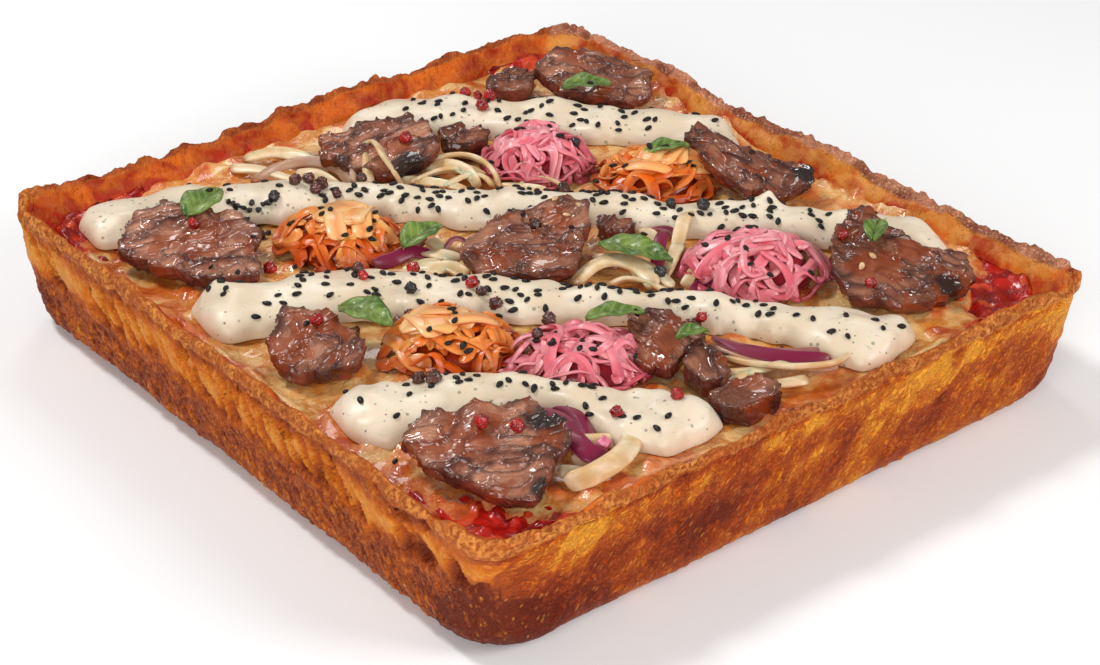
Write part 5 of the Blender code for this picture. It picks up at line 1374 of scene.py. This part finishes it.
def buildSeeds(surface):
    # black and pale sesame, and two small cubes of pickle, which are the seed's grid squared up
    grid = grainGrid(7, 10, seedHalf)
    ends = np.array([(-seedHalf[0], 0, 0), (seedHalf[0], 0, 0)])
    black = twoTone("black_sesame", 0.42, 600.0, paint(20, 16, 14), paint(38, 30, 26),
                    Specular_IOR_Level=0.25)
    layGrains("sesame_seeds", grid, ends, seedSpots(), surface, 0.35, black, "cream")
    draw = np.random.default_rng(915)
    pale = twoTone("pale_sesame", 0.4, 500.0, paint(232, 196, 150), paint(186, 136, 88), Coat_Weight=0.3,
                   Coat_Roughness=0.15)
    spots = [(u, v, *turnAndSize(draw, 0.85, 1.05)) for u, v in paleSeeds]
    layGrains("sesame_pale", grid, ends, spots, surface, 0.45, pale, "cream")
    pink = twoTone("pickle_cube", 0.3, 300.0, paint(240, 150, 176), paint(206, 92, 124), Coat_Weight=0.3,
                   Coat_Roughness=0.1)
    cube = np.sign(grid) * np.abs(grid / seedHalf) ** 0.35 * cubeHalf
    ends = np.array([(-cubeHalf, 0, 0), (cubeHalf, 0, 0)])
    layGrains("pickle_cubes", cube, ends, cubeSpots, surface, 1.0, pink, "pickle")


def buildPeppercorns(surface):
    # balls, each a little dented and ridged along the borders of seeded cells
    level = np.linspace(-0.97, 0.97, 18)[:, None]
    angle = np.arange(26) / 26 * 2 * math.pi
    flat = np.sqrt(1 - level ** 2)
    ball = np.stack([flat * np.cos(angle), flat * np.sin(angle), level + 0 * angle], axis=-1) * cornHalf
    wrinkles = []
    for corn in range(6):
        near, second = cellNoise(ball + corn * 20, 1.3, 910 + corn)
        dented = 0.22 * softNoise(ball + corn * 30, 2.6, 930 + corn)
        wrinkles.append(0.84 + 0.22 * smoothStep(second - near, 0, 0.45) + dented)
    ends = np.array([(0, 0, -cornHalf + 0.1), (0, 0, cornHalf - 0.1)])
    draw = np.random.default_rng(920)
    kinds = {
        "peppercorns_red": (redCorns, 0.22, paint(190, 22, 18), paint(116, 10, 12)),
        "peppercorns_brown": (darkCorns, 0.35, paint(104, 48, 34), paint(44, 20, 16)),
        "peppercorns_black": (blackCorns, 0.5, paint(48, 42, 40), paint(24, 22, 22)),
    }
    for name, (places, rough, light, dark) in kinds.items():
        material = twoTone(name, rough, 420.0, light, dark, 0.0003, Coat_Weight=0.5, Coat_Roughness=0.1)
        spots = [(u, v, *turnAndSize(draw, 0.74, 1.05)) for u, v in places]
        if name == "peppercorns_black":
            # a crowd of small ones on the back edge of one slice
            spots += [(*draw.normal(crowdPlace, 4.2), *turnAndSize(draw, 0.36, 0.52)) for corn in range(22)]
        layGrains(name, ball, ends, spots, surface, 1.5, material, "beef", wrinkles)


# Camera, light and floor, in metres and degrees; the camera stands where the photo was taken from.
camera = dict(azimuth=-38.98, elevation=30.76, distance=0.8607, target=(-0.010, -0.0209, 0.020), lens=83.9)


def buildStudio():
    azimuth, elevation = math.radians(camera["azimuth"]), math.radians(camera["elevation"])
    away = Vector((math.sin(azimuth) * math.cos(elevation), -math.cos(azimuth) * math.cos(elevation),
                   math.sin(elevation)))
    lens = bpy.data.cameras.new("camera")
    lens.lens = camera["lens"]
    lens.sensor_width = 36.0
    view = bpy.data.objects.new("camera", lens)
    view.location = Vector(camera["target"]) + away * camera["distance"]
    view.rotation_euler = away.to_track_quat("Z", "Y").to_euler()
    bpy.context.scene.collection.objects.link(view)
    bpy.context.scene.camera = view

    floorMesh = bpy.data.meshes.new("floor")
    floorMesh.from_pydata([(-4, -4, 0), (4, -4, 0), (4, 4, 0), (-4, 4, 0)], [], [(0, 1, 2, 3)])
    floor = bpy.data.objects.new("floor", floorMesh)
    bpy.context.scene.collection.objects.link(floor)
    finish = Finish("pale_floor", 0.9)
    patch = finish.group(blotches, Scale=3.0, Low=0.2, High=0.8)
    floorMesh.materials.append(finish.done(finish.mix(patch, paint(250, 250, 250), paint(248, 248, 248))))

    world = bpy.data.worlds.new("studio")
    bpy.context.scene.world = world
    world.use_nodes = True
    world.node_tree.nodes["Background"].inputs["Color"].default_value = (1, 1, 1, 1)
    world.node_tree.nodes["Background"].inputs["Strength"].default_value = 0.24
    lights = {
        "key": dict(place=(-0.30, 0.55, 1.0), size=0.22, power=6.5),
        "fill": dict(place=(-0.85, -0.65, 0.5), size=0.6, power=6.5),
        "back": dict(place=(0.42, 0.80, 0.85), size=0.25, power=1.6),
        "right": dict(place=(0.55, -0.95, 0.6), size=0.5, power=8.0),
    }
    for name, light in lights.items():
        lamp = bpy.data.lights.new(name, "AREA")
        lamp.shape = "SQUARE"
        lamp.size = light["size"]
        lamp.energy = light["power"]
        thing = bpy.data.objects.new(name, lamp)
        thing.location = light["place"]
        thing.rotation_euler = Vector(light["place"]).to_track_quat("Z", "Y").to_euler()
        bpy.context.scene.collection.objects.link(thing)
    bpy.context.scene.view_settings.view_transform = "Standard"
    bpy.context.scene.view_settings.look = "None"


buildCrust()
print("crust done")
buildSauce()
cheeseLayer = buildCheese()
print("filling done")
bands = buildBands()
print("cream done")
slices = buildBeef()
print("beef done")
piles = buildHeaps()
bundles = buildOnions()
print("heaps and onions done")
leaves = buildLeaves()
toppings = [*bands.values(), *slices.values(), *piles.values(), *bundles.values(), *leaves.values()]
surface = surfaceOf([cheeseLayer, *toppings])
buildSeeds(surface)
buildPeppercorns(surface)
print("leaves, seeds and peppercorns done")
buildStudio()
